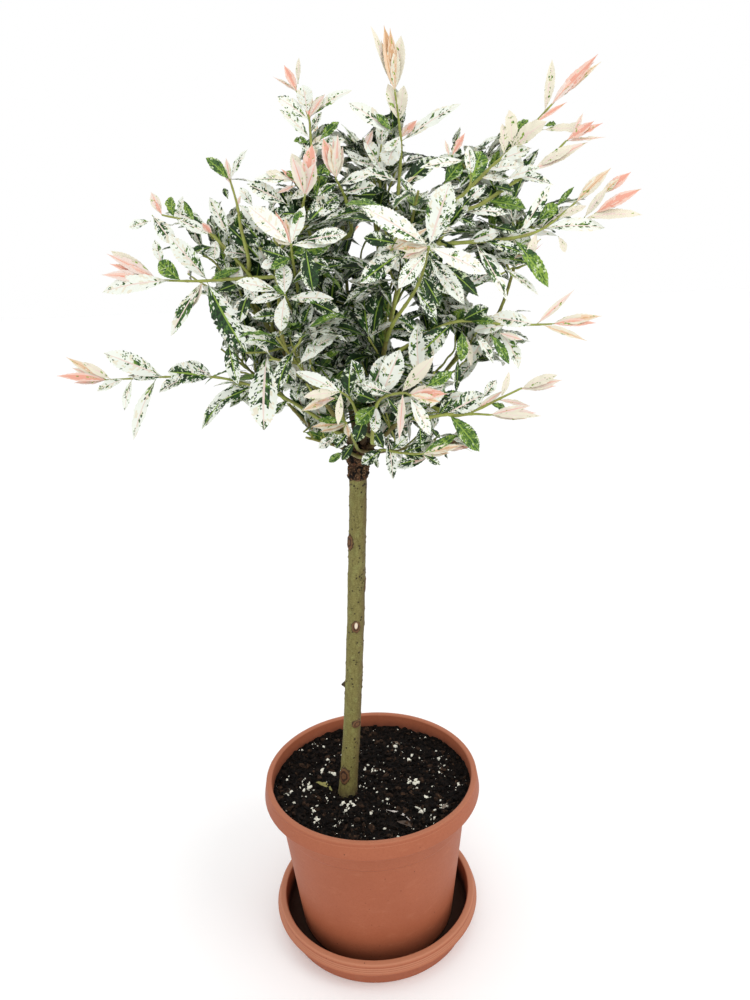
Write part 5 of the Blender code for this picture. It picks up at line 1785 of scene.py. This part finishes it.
def twig_finish(settings):
    """Yellow green bark with fine specks, brown where a twig is thick."""
    paint = Paint("green_twigs", gloss=0.30)
    place = paint.place()
    cloud = paint.cloud(place, 160.0, 4.0)
    colour = paint.layered(
        settings.twig, (cloud, 0.50, 0.20, 0.6, settings.olive),
        (paint.cloud(place, 900.0, 2.0), 0.66, 0.06, 0.5, shown(92, 84, 48)),
        (paint.mask("age"), 0.0036, 0.0012, 1.0, settings.brown))
    return paint.finish(colour, 0.42 + 0.2 * cloud, cloud, 0.0002)


def resample(points, radii, step):
    """A line and its radii with points about a step apart, and how far along it each one is."""
    lengths = lengths_along(points)
    count = max(4, int(lengths[-1] / step))
    spots = np.linspace(0, lengths[-1], count)
    fine = at_places(points, lengths, spots)
    fine[1:-1] = (fine[:-2] + 2 * fine[1:-1] + fine[2:]) / 4
    return fine, np.interp(spots, lengths, radii), spots


def skin_limb(heap, limb, step, sides, knot_spacing, depth):
    """A limb's tube, with a knot at each pair of leaves and fine relief."""
    points, radii, spots = resample(limb.points, limb.radii, step)
    knot_reach, knot_swell = 0.0016, 0.28
    knots = np.exp(-((spots / knot_spacing % 1.0 - 0.5) * knot_spacing / knot_reach) ** 2)
    radii = radii * (1 + knot_swell * knots)
    rings = tube(points, radii, sides)
    flat = rings.reshape(-1, 3)
    out = units(flat - np.repeat(points, sides, axis=0))
    flat = flat + out * (depth * bumpy(flat, 0.004, 3.0))[:, None]
    skin, faces = capped(flat.reshape(rings.shape), points[0], points[-1])
    near_head = 0.004 * np.exp(-norm(points - HEAD, axis=1) / 0.035)
    age = np.repeat(radii + near_head, sides)
    age = np.append(age, (age[0], age[-1]))
    heap.add(skin, faces, 0, age)


class WILLOW_OT_crown(bpy.types.Operator):
    """Grow the boughs, twigs, leaves and pink buds of the crown"""

    bl_idname = "willow.crown"
    bl_label = "Crown"

    def execute(self, context):
        scene = context.scene
        crown = Crown(scene.willow_leaf)
        crown.grow()
        self.make_limbs(crown, scene.willow_bark, scene.willow_leaf.spacing)
        self.make_leaves(crown)
        return {"FINISHED"}

    def make_limbs(self, crown, settings, spacing):
        """One piece for the boughs, and one for all twigs and shoots."""
        boughs = Heap()
        twigs = Heap()
        for limb in crown.limbs:
            if limb.kind == "bough":
                skin_limb(boughs, limb, 0.0020, 12, spacing * 1.3, 0.00022)
            else:
                skin_limb(twigs, limb, 0.0030, 7, spacing, 0.00010)
        piece = boughs.make("willow_boughs", [limb_finish(settings)], mask="age")
        place_piece(piece, "green_bark", *("bough_" + name for name in BOUGHS))
        piece = twigs.make("willow_twigs", [twig_finish(settings)], mask="age")
        place_piece(piece, "green_bark")

    def make_leaves(self, crown):
        """Grown leaves in a piece for each side of the crown, and the young ones in one piece."""
        finishes = [self.leaf_finish(name, colour) for name, colour in PALETTE.items()]
        chance = np.random.RandomState(77)
        grown = [leaf for leaf in crown.leaves if leaf.kind not in YOUNG]
        young = [leaf for leaf in crown.leaves if leaf.kind in YOUNG]
        for piece, masses in LEAF_PIECES.items():
            leaves = [leaf for leaf in grown if leaf.piece == piece]
            nodes = ["foliage_" + mass for mass in masses]
            self.leaf_piece("leaves_" + piece, leaves, finishes, chance, "dappled_leaves", nodes)
        nodes = ["shoot_" + name for name in SHOOTS]
        self.leaf_piece("young_leaves", young, finishes, chance, "young_leaves", nodes)

    def leaf_piece(self, name, leaves, finishes, chance, slot, nodes):
        """One piece from many leaves, each on the grid that suits its width."""
        sprays = {NEAR_GRID: [], BROAD_GRID: [], NARROW_GRID: [], YOUNG_GRID: []}
        for leaf in leaves:
            grown = BROAD_GRID if leaf.width > BROAD else NARROW_GRID
            if norm(leaf.start - EYE) < NEAR and leaf.width > BROAD * 0.75:
                grown = NEAR_GRID
            sprays[YOUNG_GRID if leaf.kind in YOUNG else grown].append(leaf)
        heap = Heap()
        for grid, members in sprays.items():
            if members:
                points, faces, colours = leaf_mesh(members, *grid, chance)
                heap.add(points, [faces], colours)
        place_piece(heap.make(name, finishes), slot, *nodes)

    def leaf_finish(self, name, colour):
        """A plain colour with a soft, slightly uneven gloss."""
        paint = Paint("leaf_" + name, gloss=0.30)
        rough = 0.44 + 0.22 * paint.cloud(paint.place(), 240.0, 2.0)
        return paint.finish(colour, rough)


class WILLOW_OT_stage(bpy.types.Operator):
    """Set up the floor, the soft light and the camera"""

    bl_idname = "willow.stage"
    bl_label = "Stage"

    KEY_PLACE = (1.25, -0.85, 1.80)
    FILL_PLACE = (-0.25, -1.70, 1.00)
    # The point that both lamps light
    AIM = Vector((0.0, 0.0, 0.55))

    def execute(self, context):
        scene = context.scene
        settings = scene.willow_stage
        scene.view_settings.view_transform = "Standard"
        self.make_floor()
        self.make_world(scene)
        self.make_lamp("key_light", self.KEY_PLACE, settings.key, 1.0)
        self.make_lamp("fill_light", self.FILL_PLACE, settings.fill, 0.9)
        self.make_camera(scene, settings)
        return {"FINISHED"}

    def make_floor(self):
        reach = 30.0
        points = reach * np.array([(-1, -1, 0), (1, -1, 0), (1, 1, 0), (-1, 1, 0)])
        paint = Paint("pale_floor", 0.8)
        cloud = paint.cloud(paint.place(), 3.0, 2.0)
        finish = paint.finish(paint.mix(cloud * 0.2, (0.94, 0.94, 0.94), (0.91, 0.91, 0.91)))
        paint.shader.inputs["Emission Color"].default_value = (1.0, 1.0, 1.0, 1.0)
        paint.shader.inputs["Emission Strength"].default_value = 0.07
        floor = mesh_object("floor", points, [np.array([(0, 1, 2, 3)])], [finish], smooth=False)

    def make_world(self, scene):
        """An even white light from all round."""
        world = bpy.data.worlds.new("soft_sky")
        world.use_nodes = True
        background = world.node_tree.nodes["Background"]
        background.inputs["Color"].default_value = (1.0, 1.0, 1.0, 1.0)
        background.inputs["Strength"].default_value = 1.0
        scene.world = world

    def make_lamp(self, name, place, power, size):
        lamp = bpy.data.lights.new(name, "AREA")
        lamp.energy = power
        lamp.size = size
        made = add_object(name, lamp)
        made.location = place
        made.rotation_euler = (self.AIM - Vector(place)).to_track_quat("-Z", "Y").to_euler()

    def make_camera(self, scene, settings):
        frame_height = 36.0
        lens = bpy.data.cameras.new("camera")
        lens.sensor_fit = "VERTICAL"
        lens.sensor_height = frame_height
        lens.lens = settings.lens
        lens.clip_start = 0.01
        camera = add_object("camera", lens)
        turn = Matrix.Rotation(math.pi / 2 - settings.pitch, 4, "X") @ Matrix.Rotation(settings.roll, 4, "Z")
        camera.matrix_world = Matrix.Translation(Vector(settings.eye)) @ turn
        scene.camera = camera


class WILLOW_PT_panel(bpy.types.Panel):
    """Lists the steps that make the plant"""

    bl_idname = "WILLOW_PT_panel"
    bl_label = "Dappled Willow"
    bl_space_type = "VIEW_3D"
    bl_region_type = "UI"
    bl_category = "Willow"

    def draw(self, context):
        for operator in OPERATORS:
            self.layout.operator(operator.bl_idname)
        for name in GROUPS:
            settings = getattr(context.scene, name)
            box = self.layout.box()
            for field in settings.__annotations__:
                box.prop(settings, field)


OPERATORS = (WILLOW_OT_stage, WILLOW_OT_pot, WILLOW_OT_soil, WILLOW_OT_stem, WILLOW_OT_graft, WILLOW_OT_crown)
GROUPS = {
    "willow_pot": PotSettings,
    "willow_soil": SoilSettings,
    "willow_bark": BarkSettings,
    "willow_leaf": LeafSettings,
    "willow_stage": StageSettings,
}


def register():
    for group in GROUPS.values():
        bpy.utils.register_class(group)
    for kind in (*OPERATORS, WILLOW_PT_panel):
        bpy.utils.register_class(kind)
    for name, group in GROUPS.items():
        setattr(bpy.types.Scene, name, PointerProperty(type=group))


def unregister():
    for name in GROUPS:
        delattr(bpy.types.Scene, name)
    for kind in (WILLOW_PT_panel, *OPERATORS, *GROUPS.values()):
        bpy.utils.unregister_class(kind)


def main():
    register()
    bpy.ops.willow.stage()
    bpy.ops.willow.pot()
    bpy.ops.willow.soil()
    bpy.ops.willow.stem()
    bpy.ops.willow.graft()
    bpy.ops.willow.crown()


if __name__ == "__main__":
    main()
